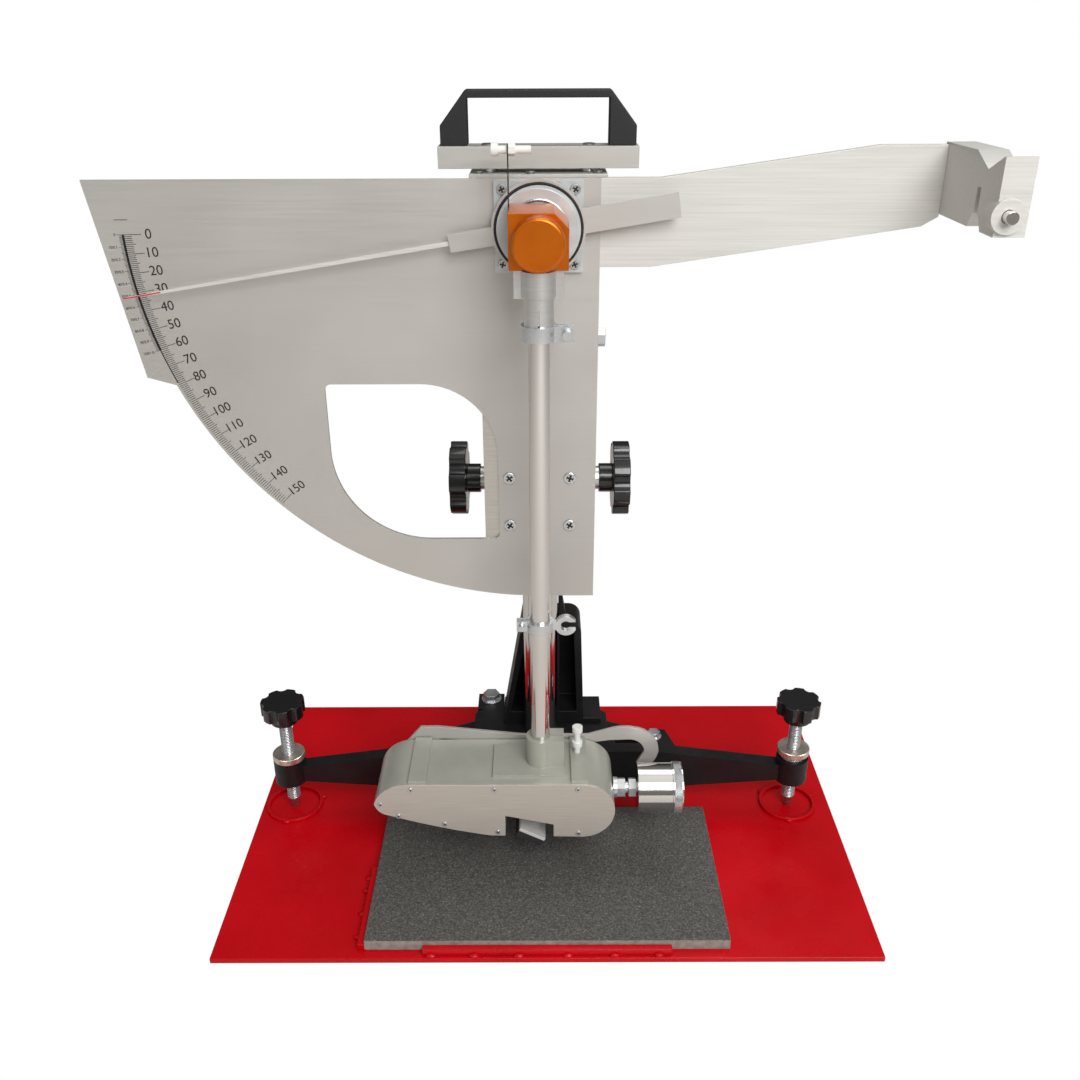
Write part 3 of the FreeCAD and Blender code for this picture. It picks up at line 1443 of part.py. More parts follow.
def lift_lever():
    """Flat bar behind the foot, ending in the finger hook over the balance weight."""
    front = s.foot_half_depth + s.lever_gap
    back = front + s.lever_thick
    left, level = -s.lever_pivot_x, s.lever_pivot_z
    crown, elbow = left + s.lever_crown_x, left + s.lever_elbow_x
    reach = left + s.lever_reach
    under = level + s.lever_under
    upper = under + s.lever_depth
    peak = level + s.lever_crown_z
    bend = reach - s.finger_bend
    tip = level - s.finger_drop
    bar = plate("XZ", [[
        (left - 5, level + 6.7),
        (left - 6, level - 5),
        (left + 6, level - 5),
        (left + 14, level + 7.5),
        (crown + 3, peak - 12.5),
        (elbow, under),
        (elbow + s.lever_straight, under),
        (bend - 18, under + 2.8),
        (bend, under + 3.5, s.finger_inner_bend, -1),
        (reach - s.finger_width, level - 3.5),
        (reach - s.finger_width - 6, tip + 5.5, 5.2, 1),
        (reach - 10, tip, s.finger_outer_bend, 1),
        (reach, level - 2.5, s.finger_outer_bend, 1),
        (bend + 4, upper + 7.2, s.finger_outer_bend + 15, 1),
        (bend - 18, upper + 6.2),
        (elbow + s.lever_straight, upper),
        (elbow, upper),
        (crown, peak),
        (crown - 16, peak),
    ]], front, back)
    centre = (left, level)
    hub = rod("Y", centre, front, back, s.lever_hub_radius)
    bore = rod("Y", centre, front - 1, back + 1, s.lever_pin_radius + s.running_play)
    sub_part("lift_lever", cut(fuse(bar, hub), bore))


def balance():
    centre = (0, s.balance_height)
    start = s.foot_end_x + FOOT_END
    bush_end = start + s.stud_bush_length
    nut_end = bush_end + s.stud_nut_length
    stud = rod("X", centre, start, s.stud_end, s.stud_radius)
    bush = rod("X", centre, start, bush_end, s.stud_bush_radius)
    nut = hexagon("X", centre, bush_end, nut_end, s.stud_nut_hex)
    jam = hexagon("X", centre, s.lock_nut_start, s.lock_nut_start + s.lock_nut_length, s.stud_nut_hex)
    sub_part("balance_stud", fuse(stud, bush, nut, jam))
    body_end = s.weight_start + s.weight_length
    body = rod("X", centre, s.weight_start, body_end, s.weight_radius)
    rim = rod("X", centre, body_end, body_end + s.weight_rim_length, s.weight_rim_radius)
    bore = rod("X", centre, s.weight_start - 1, s.weight_start + s.weight_bore_depth,
               s.stud_radius + s.running_play)
    sub_part("balance_weight", cut(fuse(body, rim), bore))


stand()
levelling_feet()
cross_beam()
base_casting()
casting_bolts()
column_bracket()
column_post()
height_rack()
pinion_shaft()
height_knobs()
lock_knob()
carriage_housing()
scale_plate()
carry_handle()
release_arm()
catch_block()
bearing_housing()
pointer()
pendulum_head()
tube_clamp()
pendulum_tube()
pusher()
catch_clip()
pendulum_foot()
slider()
lift_lever()
balance()
doc.recompute()


def check_and_write():
    for thing in doc.Objects:
        if "Invalid" in thing.State or "Error" in thing.State:
            raise RuntimeError("%s (%s) failed: %s" % (thing.Label, thing.Name, thing.State))
    os.makedirs("parts", exist_ok=True)
    for name, thing in sub_parts:
        shape = thing.Shape
        if shape.isNull() or not shape.isValid() or not shape.Solids:
            raise RuntimeError("%s has no valid solid" % name)
        shape.exportStep("parts/%s.step" % name)
        print("%-24s %d solid(s) %12.1f mm3" % (name, len(shape.Solids), shape.Volume))


check_and_write()
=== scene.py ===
import math

import bmesh
import bpy
from mathutils import Matrix, Vector


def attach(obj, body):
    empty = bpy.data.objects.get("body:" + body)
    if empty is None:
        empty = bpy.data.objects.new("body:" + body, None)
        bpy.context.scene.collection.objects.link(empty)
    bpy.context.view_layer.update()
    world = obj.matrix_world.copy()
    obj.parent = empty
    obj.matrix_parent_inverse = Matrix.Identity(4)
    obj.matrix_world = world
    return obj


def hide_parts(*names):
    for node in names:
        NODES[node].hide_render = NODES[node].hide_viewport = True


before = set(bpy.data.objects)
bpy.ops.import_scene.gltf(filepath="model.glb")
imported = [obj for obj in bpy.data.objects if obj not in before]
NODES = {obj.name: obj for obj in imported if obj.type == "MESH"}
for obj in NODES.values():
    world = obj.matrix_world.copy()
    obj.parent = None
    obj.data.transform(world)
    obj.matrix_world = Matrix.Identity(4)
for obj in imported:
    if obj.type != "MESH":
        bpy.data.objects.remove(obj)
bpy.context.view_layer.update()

# Looks of the pendulum skid resistance tester: finishes, printed scale, threads, knurls,
# screw heads and weld beads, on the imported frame. Metres, +Z up, -Y towards the operator.

MM = 0.001
PIVOT_HEIGHT = 553.0
PIVOT = Vector((0, 0, PIVOT_HEIGHT * MM))
POINTER_TILT = 9.1
DISSOLVE_ANGLE = 0.4
BEVEL_ANGLE = 34.0


# Materials

def new_material(name, color, metallic=0.0, roughness=0.5):
    material = bpy.data.materials.new(name)
    material.use_nodes = True
    shader = material.node_tree.nodes["Principled BSDF"]
    shader.inputs["Base Color"].default_value = (*color, 1)
    shader.inputs["Metallic"].default_value = metallic
    shader.inputs["Roughness"].default_value = roughness
    material.diffuse_color = (*color, 1)
    return material


def grain(material, scale, stretch=(1, 1, 1), detail=4.0):
    """A noise on Object coordinates, stretched along the way a surface was worked."""
    tree = material.node_tree
    place = tree.nodes.new("ShaderNodeTexCoord")
    mapping = tree.nodes.new("ShaderNodeMapping")
    noise = tree.nodes.new("ShaderNodeTexNoise")
    mapping.inputs["Scale"].default_value = stretch
    noise.inputs["Scale"].default_value = scale
    noise.inputs["Detail"].default_value = detail
    tree.links.new(place.outputs["Object"], mapping.inputs["Vector"])
    tree.links.new(mapping.outputs["Vector"], noise.inputs["Vector"])
    return noise.outputs["Fac"]


def ramp(material, value, stops):
    node = material.node_tree.nodes.new("ShaderNodeValToRGB")
    while len(node.color_ramp.elements) < len(stops):
        node.color_ramp.elements.new(0.5)
    for element, (position, color) in zip(node.color_ramp.elements, stops):
        element.position = position
        element.color = (*color, 1)
    material.node_tree.links.new(value, node.inputs["Fac"])
    return node.outputs["Color"]


def spread(material, value, low, high):
    node = material.node_tree.nodes.new("ShaderNodeMapRange")
    node.inputs["From Min"].default_value = 0.3
    node.inputs["From Max"].default_value = 0.7
    node.inputs["To Min"].default_value = low
    node.inputs["To Max"].default_value = high
    material.node_tree.links.new(value, node.inputs["Value"])
    return node.outputs["Result"]


def set_input(material, name, value):
    shader = material.node_tree.nodes["Principled BSDF"]
    if isinstance(value, bpy.types.NodeSocket):
        material.node_tree.links.new(value, shader.inputs[name])
    else:
        shader.inputs[name].default_value = value


def relief(material, value, strength, depth):
    bump = material.node_tree.nodes.new("ShaderNodeBump")
    bump.inputs["Strength"].default_value = strength
    bump.inputs["Distance"].default_value = depth
    material.node_tree.links.new(value, bump.inputs["Height"])
    set_input(material, "Normal", bump.outputs["Normal"])


def red_enamel():
    material = new_material("red_enamel", (0.50, 0.004, 0.010), roughness=0.26)
    tint = ramp(material, grain(material, 9.0), [(0.3, (0.46, 0.001, 0.004)), (0.75, (0.60, 0.003, 0.009))])
    set_input(material, "Base Color", tint)
    set_input(material, "Specular IOR Level", 0.22)
    set_input(material, "Roughness", spread(material, grain(material, 30.0), 0.20, 0.34))
    relief(material, grain(material, 160.0, detail=2.0), 0.10, 0.0004)
    return material


def satin_aluminium():
    """Rolled sheet with fine level grain and faint cloudy stains."""
    material = new_material("satin_aluminium", (0.60, 0.58, 0.55), metallic=0.55, roughness=0.46)
    cloud = grain(material, 7.0, detail=3.0)
    tint = ramp(material, cloud, [(0.25, (0.54, 0.52, 0.49)), (0.8, (0.65, 0.635, 0.605))])
    set_input(material, "Base Color", tint)
    streaks = grain(material, 14.0, stretch=(1.0, 60.0, 60.0), detail=8.0)
    set_input(material, "Roughness", spread(material, streaks, 0.40, 0.56))
    relief(material, streaks, 0.12, 0.0003)
    return material


def bright_aluminium():
    """Brushed bar of the release arm, its catch and the needle, brighter than the plate; the lighter base
    colour is partly the brushed metal and partly a painted highlight, and on the slider backing it is painted
    light against the foot's shadow.
    """
    # Base and tint stand lighter than the plate's aluminium: a painted highlight, a lit copy of the same
    # metal
    material = new_material("bright_aluminium", (0.70, 0.69, 0.66), metallic=0.25, roughness=0.48)
    strokes = grain(material, 12.0, stretch=(1.0, 70.0, 70.0), detail=8.0)
    tint = ramp(material, strokes, [(0.25, (0.64, 0.63, 0.60)), (0.8, (0.76, 0.75, 0.72))])
    set_input(material, "Base Color", tint)
    set_input(material, "Roughness", spread(material, strokes, 0.42, 0.58))
    relief(material, strokes, 0.15, 0.0003)
    return material


def machined_aluminium():
    material = new_material("machined_aluminium", (0.62, 0.60, 0.56), metallic=0.8, roughness=0.32)
    marks = grain(material, 22.0, stretch=(1.0, 40.0, 20.0), detail=6.0)
    tint = ramp(material, marks, [(0.2, (0.52, 0.50, 0.46)), (0.8, (0.70, 0.68, 0.64))])
    set_input(material, "Base Color", tint)
    set_input(material, "Roughness", spread(material, marks, 0.24, 0.42))
    relief(material, marks, 0.10, 0.0003)
    return material


def chrome_plate():
    material = new_material("chrome_plate", (0.76, 0.74, 0.72), metallic=1.0, roughness=0.08)
    set_input(material, "Roughness", spread(material, grain(material, 40.0), 0.05, 0.13))
    relief(material, grain(material, 300.0, stretch=(1, 1, 0.05)), 0.02, 0.0002)
    return material


def zinc_plate():
    """Bluish bright zinc with slight mottling."""
    material = new_material("zinc_plate", (0.66, 0.69, 0.71), metallic=0.85, roughness=0.3)
    mottle = grain(material, 90.0, detail=5.0)
    tint = ramp(material, mottle, [(0.3, (0.61, 0.64, 0.66)), (0.75, (0.73, 0.75, 0.76))])
    set_input(material, "Base Color", tint)
    set_input(material, "Roughness", spread(material, mottle, 0.20, 0.38))
    return material


def pale_zinc():
    """Dull plating of the bearing's face."""
    material = new_material("pale_zinc", (0.62, 0.65, 0.66), metallic=0.55, roughness=0.42)
    cloud = grain(material, 60.0)
    tint = ramp(material, cloud, [(0.3, (0.56, 0.60, 0.61)), (0.75, (0.68, 0.71, 0.72))])
    set_input(material, "Base Color", tint)
    set_input(material, "Roughness", spread(material, cloud, 0.36, 0.50))
    return material


def turned_steel():
    material = new_material("turned_steel", (0.72, 0.72, 0.71), metallic=0.9, roughness=0.34)
    rings = grain(material, 90.0, stretch=(1.0, 1.0, 8.0), detail=3.0)
    tint = ramp(material, rings, [(0.2, (0.68, 0.68, 0.67)), (0.8, (0.78, 0.78, 0.77))])
    set_input(material, "Base Color", tint)
    return material


def nickel_plate():
    """Warm nickel of the lock nuts."""
    material = new_material("nickel_plate", (0.72, 0.65, 0.56), metallic=0.9, roughness=0.3)
    cloud = grain(material, 120.0)
    tint = ramp(material, cloud, [(0.3, (0.64, 0.57, 0.48)), (0.75, (0.78, 0.72, 0.64))])
    set_input(material, "Base Color", tint)
    set_input(material, "Roughness", spread(material, cloud, 0.24, 0.38))
    return material


def dark_steel():
    """Oiled steel of the cross-head screws."""
    material = new_material("dark_steel", (0.26, 0.26, 0.26), metallic=0.9, roughness=0.34)
    cloud = grain(material, 300.0)
    tint = ramp(material, cloud, [(0.3, (0.20, 0.20, 0.20)), (0.75, (0.34, 0.34, 0.33))])
    set_input(material, "Base Color", tint)
    set_input(material, "Roughness", spread(material, cloud, 0.26, 0.42))
    return material


def black_casting():
    material = new_material("black_casting", (0.012, 0.012, 0.014), roughness=0.38)
    pits = grain(material, 140.0, detail=6.0)
    tint = ramp(material, grain(material, 25.0), [(0.3, (0.004, 0.004, 0.005)), (0.8, (0.013, 0.012, 0.013))])
    set_input(material, "Base Color", tint)
    set_input(material, "Specular IOR Level", 0.35)
    set_input(material, "Roughness", spread(material, pits, 0.36, 0.56))
    relief(material, pits, 0.15, 0.0005)
    return material


def matte_black():
    material = new_material("matte_black", (0.010, 0.010, 0.011), roughness=0.55)
    grit = grain(material, 500.0, detail=2.0)
    set_input(material, "Roughness", spread(material, grit, 0.45, 0.65))
    relief(material, grit, 0.15, 0.0002)
    return material


def glossy_black():
    material = new_material("glossy_black", (0.008, 0.008, 0.009), roughness=0.16)
    set_input(material, "Roughness", spread(material, grain(material, 60.0), 0.12, 0.24))
    set_input(material, "Coat Weight", 0.3)
    relief(material, grain(material, 70.0, detail=2.0), 0.06, 0.0004)
    return material


def grey_cast():
    """Light grey-green paint on the pendulum's foot."""
    material = new_material("grey_cast", (0.40, 0.41, 0.36), metallic=0.15, roughness=0.32)
    tint = ramp(material, grain(material, 30.0), [(0.3, (0.36, 0.37, 0.32)), (0.8, (0.46, 0.46, 0.41))])
    set_input(material, "Base Color", tint)
    return material


def brushed_cover():
    material = new_material("brushed_cover", (0.50, 0.46, 0.41), metallic=0.45, roughness=0.44)
    strokes = grain(material, 30.0, stretch=(1.0, 1.0, 40.0), detail=8.0)
    tint = ramp(material, strokes, [(0.2, (0.50, 0.46, 0.41)), (0.8, (0.64, 0.59, 0.53))])
    set_input(material, "Base Color", tint)
    set_input(material, "Roughness", spread(material, strokes, 0.32, 0.5))
    relief(material, strokes, 0.12, 0.0003)
    return material


def orange_anodised():
    material = new_material("orange_anodised", (0.66, 0.15, 0.001), metallic=0.6, roughness=0.28)
    tint = ramp(material, grain(material, 25.0), [(0.3, (0.58, 0.12, 0.001)), (0.8, (0.76, 0.19, 0.002))])
    set_input(material, "Base Color", tint)
    return material


def white_nylon():
    material = new_material("white_nylon", (0.82, 0.82, 0.78), roughness=0.42)
    set_input(material, "Subsurface Weight", 0.08)
    set_input(material, "Roughness", spread(material, grain(material, 200.0), 0.36, 0.5))
    return material


def black_rubber():
    material = new_material("black_rubber", (0.018, 0.018, 0.019), roughness=0.75)
    fuzz = grain(material, 350.0)
    set_input(material, "Roughness", spread(material, fuzz, 0.68, 0.85))
    relief(material, fuzz, 0.2, 0.0003)
    return material


def printed_ink(name, color):
    material = new_material(name, color, roughness=0.5)
    set_input(material, "Roughness", spread(material, grain(material, 300.0), 0.42, 0.6))
    return material


def test_tile():
    """Dark stone speckle on top, with a paler body showing at the tile's edges."""
    material = new_material("test_tile", (0.10, 0.10, 0.105), roughness=0.7)
    tree = material.node_tree
    speckle = ramp(material, grain(material, 620.0, detail=3.0), [
        (0.34, (0.048, 0.046, 0.043)), (0.50, (0.085, 0.081, 0.076)),
        (0.62, (0.12, 0.115, 0.105)), (0.76, (0.24, 0.23, 0.21))])
    body = ramp(material, grain(material, 200.0), [(0.3, (0.20, 0.19, 0.17)), (0.7, (0.34, 0.32, 0.28))])
    geometry = tree.nodes.new("ShaderNodeNewGeometry")
    facing = tree.nodes.new("ShaderNodeSeparateXYZ")
    tree.links.new(geometry.outputs["Normal"], facing.inputs["Vector"])
    mix = tree.nodes.new("ShaderNodeMix")
    mix.data_type = "RGBA"
    tree.links.new(facing.outputs["Z"], mix.inputs["Factor"])
    tree.links.new(body, mix.inputs["A"])
    tree.links.new(speckle, mix.inputs["B"])
    set_input(material, "Base Color", mix.outputs["Result"])
    relief(material, grain(material, 380.0, detail=6.0), 0.35, 0.0006)
    return material


FINISHES = {
    "enamel": red_enamel(),
    "sheet": satin_aluminium(),
    "bright": bright_aluminium(),
    "machined": machined_aluminium(),
    "chrome": chrome_plate(),
    "zinc": zinc_plate(),
    "turned": turned_steel(),
    "pale": pale_zinc(),
    "nickel": nickel_plate(),
    "screw": dark_steel(),
    "casting": black_casting(),
    "matte": matte_black(),
    "gloss": glossy_black(),
    "cast_foot": grey_cast(),
    "cover": brushed_cover(),
    "orange": orange_anodised(),
    "nylon": white_nylon(),
    "rubber": black_rubber(),
    "tile": test_tile(),
    "ink": printed_ink("black_ink", (0.012, 0.012, 0.014)),
    "red_ink": printed_ink("red_ink", (0.62, 0.01, 0.05)),
}

NODE_FINISH = {
    "base_plate": "enamel", "tile_rails": "enamel", "foot_rings": "enamel", "test_tile": "tile",
    "foot_washer": "zinc", "cross_beam": "casting", "base_casting": "casting",
    "casting_bolts": "zinc", "column_bracket": "casting", "column_post": "chrome",
    "height_rack": "turned", "pinion_shaft": "turned", "height_knob_left": "gloss",
    "height_knob_right": "gloss", "head_lock_knob": "gloss", "carriage_housing": "machined",
    "carriage_top_plate": "sheet", "carriage_bolt": "zinc", "scale_plate": "sheet",
    "faceplate_screws": "screw", "handle_spacers": "zinc", "handle_bar": "sheet",
    "carry_handle": "matte", "release_arm": "bright", "catch_block": "bright",
    "release_bush": "bright", "release_bolt": "chrome", "bearing_housing": "pale",
    "spindle_bearings": "turned", "bearing_cover": "pale", "pointer_hub": "sheet",
    "pointer_needle": "bright", "pivot_block": "orange", "spindle": "turned", "pivot_cap": "orange",
    "tube_collar": "turned", "tube_clamp": "zinc", "pendulum_tube": "chrome",
    "pusher_strip": "matte", "nylon_screws": "nylon", "catch_clip": "zinc",
    "foot_housing": "cast_foot", "foot_cover": "cover", "foot_cover_screws": "zinc",
    # slider_backing takes the lighter aluminium as painted light against the foot's shadow
    "rubber_slider": "rubber", "slider_backing": "bright", "slider_arm": "turned",
    "lift_lever": "sheet", "balance_stud": "zinc", "balance_weight": "chrome",
}
for foot in ("left", "right", "rear"):
    NODE_FINISH[foot + "_levelling_screw"] = "zinc"
    NODE_FINISH[foot + "_levelling_knob"] = "gloss"
    NODE_FINISH[foot + "_lock_nut"] = "nickel"

# Width of the broken edge on each kind of piece, in mm
EDGE = {"casting": 1.6, "gloss": 1.6, "cast_foot": 0.7, "orange": 0.9, "matte": 0.8, "enamel": 0.7,
        "machined": 0.5, "nylon": 0.5, "sheet": 0.35, "bright": 0.35, "zinc": 0.4, "turned": 0.4,
        "pale": 0.3, "chrome": 0.4, "nickel": 0.4, "screw": 0.2, "cover": 0.3, "rubber": 0.3, "tile": 0.6}
FINE_TEETH = ("height_rack", "pinion_shaft")


def dress_nodes():
    for name, finish in NODE_FINISH.items():
        node = NODES[name]
        node.data.materials.clear()
        node.data.materials.append(FINISHES[finish])
        weld = node.modifiers.new("weld", "WELD")
        weld.merge_threshold = 0.00001
        flat = node.modifiers.new("flat_faces", "DECIMATE")
        flat.decimate_type = "DISSOLVE"
        flat.angle_limit = math.radians(DISSOLVE_ANGLE)
        if name in FINE_TEETH:
            continue
        for polygon in node.data.polygons:
            polygon.use_smooth = True
        edge = node.modifiers.new("broken_edge", "BEVEL")
        edge.width = EDGE[finish] * MM
        edge.segments = 2
        edge.limit_method = "ANGLE"
        edge.angle_limit = math.radians(BEVEL_ANGLE)
        edge.use_clamp_overlap = True
        level = node.modifiers.new("level_faces", "WEIGHTED_NORMAL")
        level.mode = "FACE_AREA"
        level.weight = 100
        level.keep_sharp = True


# Making and placing new pieces

def finish_piece(name, mesh_source, finish, body, smooth=False):
    """Turns a bmesh, in metres and in place, into a piece that rides on a body."""
    mesh = bpy.data.meshes.new(name)
    bmesh.ops.recalc_face_normals(mesh_source, faces=mesh_source.faces)
    for face in mesh_source.faces:
        face.smooth = smooth
    mesh_source.to_mesh(mesh)
    mesh_source.free()
    mesh.materials.append(FINISHES[finish])
    piece = bpy.data.objects.new(name, mesh)
    bpy.context.scene.collection.objects.link(piece)
    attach(piece, body)
    return piece


def ring_profile(work, points, axis, centre, steps, angle=math.tau):
    """Spins a closed outline of (radius, height) points round an axis through centre."""
    along = Vector(axis)
    across = along.orthogonal().normalized()
    verts = [work.verts.new(Vector(centre) + across * r * MM + along * z * MM) for r, z in points]
    edges = [work.edges.new((verts[i], verts[(i + 1) % len(verts)])) for i in range(len(verts))]
    full = abs(angle - math.tau) < 1e-6
    bmesh.ops.spin(work, geom=verts + edges, cent=centre, axis=axis, angle=angle, steps=steps,
                   use_merge=full, use_duplicate=False)
    bmesh.ops.remove_doubles(work, verts=work.verts, dist=1e-7)


def block(work, low, high, turn=None, about=(0, 0, 0)):
    """A box between two corners in mm, turned about a point if asked."""
    low = Vector(low) * MM
    high = Vector(high) * MM
    matrix = Matrix.Translation((low + high) / 2) @ Matrix.Diagonal((*(high - low), 1))
    if turn is not None:
        shift = Matrix.Translation(Vector(about) * MM)
        matrix = shift @ turn @ shift.inverted() @ matrix
    bmesh.ops.create_cube(work, size=1.0, matrix=matrix)


def cross_head(work, recess_shade, centre, radius, height, turn=0.0, axis="Y"):
    """Pan head with a cross recess: rim and four quarters in work, and a black disc in floors under the
    cross, painted shade at the bottom of the recess.
    """
    rotation = {"Y": Matrix.Rotation(math.pi / 2, 4, "X"), "Z": Matrix.Identity(4)}[axis]
    place = Matrix.Translation(Vector(centre) * MM) @ rotation @ Matrix.Rotation(turn, 4, "Z")
    head = bmesh.new()
    slot = radius * 0.17
    reach = radius * 0.62
    ring_profile(head, [(reach, 0), (radius, 0), (radius, height * 0.7), (radius * 0.9, height),
                        (reach, height)], (0, 0, 1), (0, 0, 0), 20)
    # Black disc under the cross slots: painted shade at the bottom of the recess, not a part of its own
    bmesh.ops.create_cone(recess_shade, cap_ends=True, segments=16, radius1=reach * 1.02 * MM,
                          radius2=reach * 1.02 * MM, depth=height * 0.5 * MM,
                          matrix=place @ Matrix.Translation((0, 0, height * 0.25 * MM)))
    for quarter in range(4):
        side = Matrix.Rotation(quarter * math.pi / 2, 4, "Z")
        low, high = slot * MM, reach * 0.78 * MM
        bmesh.ops.create_cube(head, size=1.0, matrix=side @ Matrix.Translation(
            ((low + high) / 2, (low + high) / 2, height / 2 * MM))
            @ Matrix.Diagonal((high - low, high - low, height * MM, 1)))
    bmesh.ops.transform(head, matrix=place, verts=head.verts)
    scrap = bpy.data.meshes.new("scrap")
    head.to_mesh(scrap)
    head.free()
    work.from_mesh(scrap)
    bpy.data.meshes.remove(scrap)


# Printed scale on the big plate

PRINT_Y = 63.9
PRINT_DEPTH = 0.08
ARC_RADIUS = 310.0
SCALE_START = 0.9
SCALE_RATE = 0.2645
SCALE_CURVE = 1.65e-6
SIDE_SCALE_RATE = 0.165


def reading_angle(value):
    """Angle below level, in degrees, at which the plate shows a reading."""
    return SCALE_START + SCALE_RATE * value + SCALE_CURVE * value ** 3


def side_angle(value):
    """The same for the finer scale outside the arc."""
    return SCALE_START + SIDE_SCALE_RATE * value


def on_plate(radius, degrees):
    angle = math.radians(degrees)
    return -radius * math.cos(angle), PIVOT_HEIGHT - radius * math.sin(angle)


def tick(work, degrees, start, end, width):
    """A printed stroke along a radius of the scale."""
    turn = Matrix.Rotation(math.radians(-degrees), 4, "Y")
    block(work, (-end, PRINT_Y - PRINT_DEPTH, PIVOT_HEIGHT - width / 2),
          (-start, PRINT_Y, PIVOT_HEIGHT + width / 2), turn, (0, 0, PIVOT_HEIGHT))


def arc_line(work, start, end, radius, width):
    """A printed line that follows the scale between two angles."""
    verts = [work.verts.new(Vector((-r, PRINT_Y - PRINT_DEPTH, PIVOT_HEIGHT)) * MM)
             for r in (radius - width / 2, radius + width / 2)]
    edge = work.edges.new(verts)
    turn = Matrix.Rotation(math.radians(-start), 3, "Y")
    bmesh.ops.rotate(work, verts=verts, cent=PIVOT, matrix=turn)
    bmesh.ops.spin(work, geom=verts + [edge], cent=PIVOT, axis=(0, -1, 0),
                   angle=math.radians(end - start), steps=48)


def label(words, size, x, z, tilt, side):
    """A printed number as a flat mesh on the plate."""
    curve = bpy.data.curves.new("label", "FONT")
    curve.body = words
    curve.size = size * MM
    curve.align_x = side
    curve.align_y = "CENTER"
    curve.fill_mode = "FRONT"
    text = bpy.data.objects.new("label", curve)
    bpy.context.scene.collection.objects.link(text)
    bpy.context.view_layer.update()
    mesh = bpy.data.meshes.new_from_object(text)
    place = Matrix.Translation(Vector((x, PRINT_Y - PRINT_DEPTH, z)) * MM)
    mesh.transform(place @ Matrix.Rotation(math.radians(tilt), 4, "Y") @ Matrix.Rotation(math.pi / 2, 4, "X"))
    bpy.data.objects.remove(text)
    return mesh


def stroke_length(value, whole, half, single):
    """Long strokes at the tens, middling ones at the fives, short ones between."""
    return whole if value % 10 == 0 else half if value % 5 == 0 else single


def printed_scale():
    marks = bmesh.new()
    for value in range(0, 151):
        start = ARC_RADIUS - stroke_length(value, 13.5, 8.5, 6.5)
        tick(marks, reading_angle(value), start, ARC_RADIUS, 0.36)
    for value in range(0, 101):
        end = ARC_RADIUS + stroke_length(value, 4.8, 3.6, 3.0)
        tick(marks, side_angle(value), ARC_RADIUS, end, 0.24)
    arc_line(marks, SCALE_START, side_angle(100), ARC_RADIUS, 1.7)
    arc_line(marks, side_angle(100), 22.6, ARC_RADIUS, 0.8)
    block(marks, (-315, PRINT_Y - PRINT_DEPTH, 558.7), (-305, PRINT_Y, 559.1))
    finish_piece("scale_strokes", marks, "ink", "carriage")
    numbers = bmesh.new()
    for value in range(0, 151, 10):
        degrees = reading_angle(value)
        x, z = on_plate(ARC_RADIUS - 19.0, degrees)
        numbers.from_mesh(label(str(value), 10.4, x, z, -degrees * 0.75, "CENTER"))
    for value in range(0, 101, 10):
        x, z = on_plate(ARC_RADIUS + 5.6, side_angle(value))
        words = "0" if value == 0 else "%d/%.1f" % (value, value / 100)
        numbers.from_mesh(label(words, 2.9, x, z, -value * 0.12, "RIGHT"))
    finish_piece("scale_numbers", numbers, "ink", "carriage")


def needle_tip():
    """Red line at the needle's end, in front of the scale."""
    tip = bmesh.new()
    turn = Matrix.Rotation(math.radians(-POINTER_TILT), 4, "Y")
    block(tip, (-318.5, 54.35, PIVOT_HEIGHT - 0.45), (-289, 54.5, PIVOT_HEIGHT + 0.45), turn,
          (0, 0, PIVOT_HEIGHT))
    finish_piece("needle_red_line", tip, "red_ink", "pointer")


# Head: bearing face and screws

COVER_BACK = 60.0
SEAL_RADIUS = 32.1
SEAL_WIRE = 1.0
SEAL_PROUD = 8.2
FLANGE_SCREW = 27


def bearing_trim():
    ring = bmesh.new()
    around = [i * math.tau / 10 for i in range(10)]
    profile = [(SEAL_RADIUS + SEAL_WIRE * math.cos(a), SEAL_PROUD + SEAL_WIRE * math.sin(a)) for a in around]
    ring_profile(ring, profile, (0, -1, 0), (0, COVER_BACK * MM, PIVOT_HEIGHT * MM), 72)
    finish_piece("bearing_seal_ring", ring, "rubber", "carriage", True)
    turned = bmesh.new()
    ring_profile(turned, [(20, 12.4), (22.5, 12.4), (22.5, 12.9), (20, 12.9)], (0, -1, 0),
                 (0, COVER_BACK * MM, PIVOT_HEIGHT * MM), 64)
    finish_piece("bearing_face_ring", turned, "zinc", "carriage", True)


def faceplate_heads():
    heads = bmesh.new()
    recess_shade = bmesh.new()
    for x in (-FLANGE_SCREW, FLANGE_SCREW):
        for z in (PIVOT_HEIGHT - FLANGE_SCREW, PIVOT_HEIGHT + FLANGE_SCREW):
            cross_head(heads, recess_shade, (x, 59.5, z), 3.8, 1.0, turn=0.3 + x + z)
    for x in (-25, 25):
        for z in (308.6, 351.4):
            cross_head(heads, recess_shade, (x, 63.5, z), 5.0, 0.8, turn=0.2 + x * z)
    finish_piece("cross_head_screws", heads, "zinc", "carriage")
    # The black discs under the crosses are painted shade in the screw recesses
    finish_piece("cross_recess_shade", recess_shade, "matte", "carriage")


def handle_screws():
    work = bmesh.new()
    recess_shade = bmesh.new()
    for x in (-37.5, 37.5):
        cross_head(work, recess_shade, (x, 89, 608.0), 4.6, 1.2, turn=0.4, axis="Z")
    for x, y in ((-44, 76), (44, 76), (-44, 147), (44, 147), (-6, 73)):
        cross_head(work, recess_shade, (x, y, 589.5), 3.6, 1.8, turn=0.7 + x, axis="Z")
    finish_piece("top_screws", work, "screw", "carriage")
    # The black discs under the crosses are painted shade in the screw recesses
    finish_piece("top_screw_recess_shade", recess_shade, "matte", "carriage")


# Threads and knurls

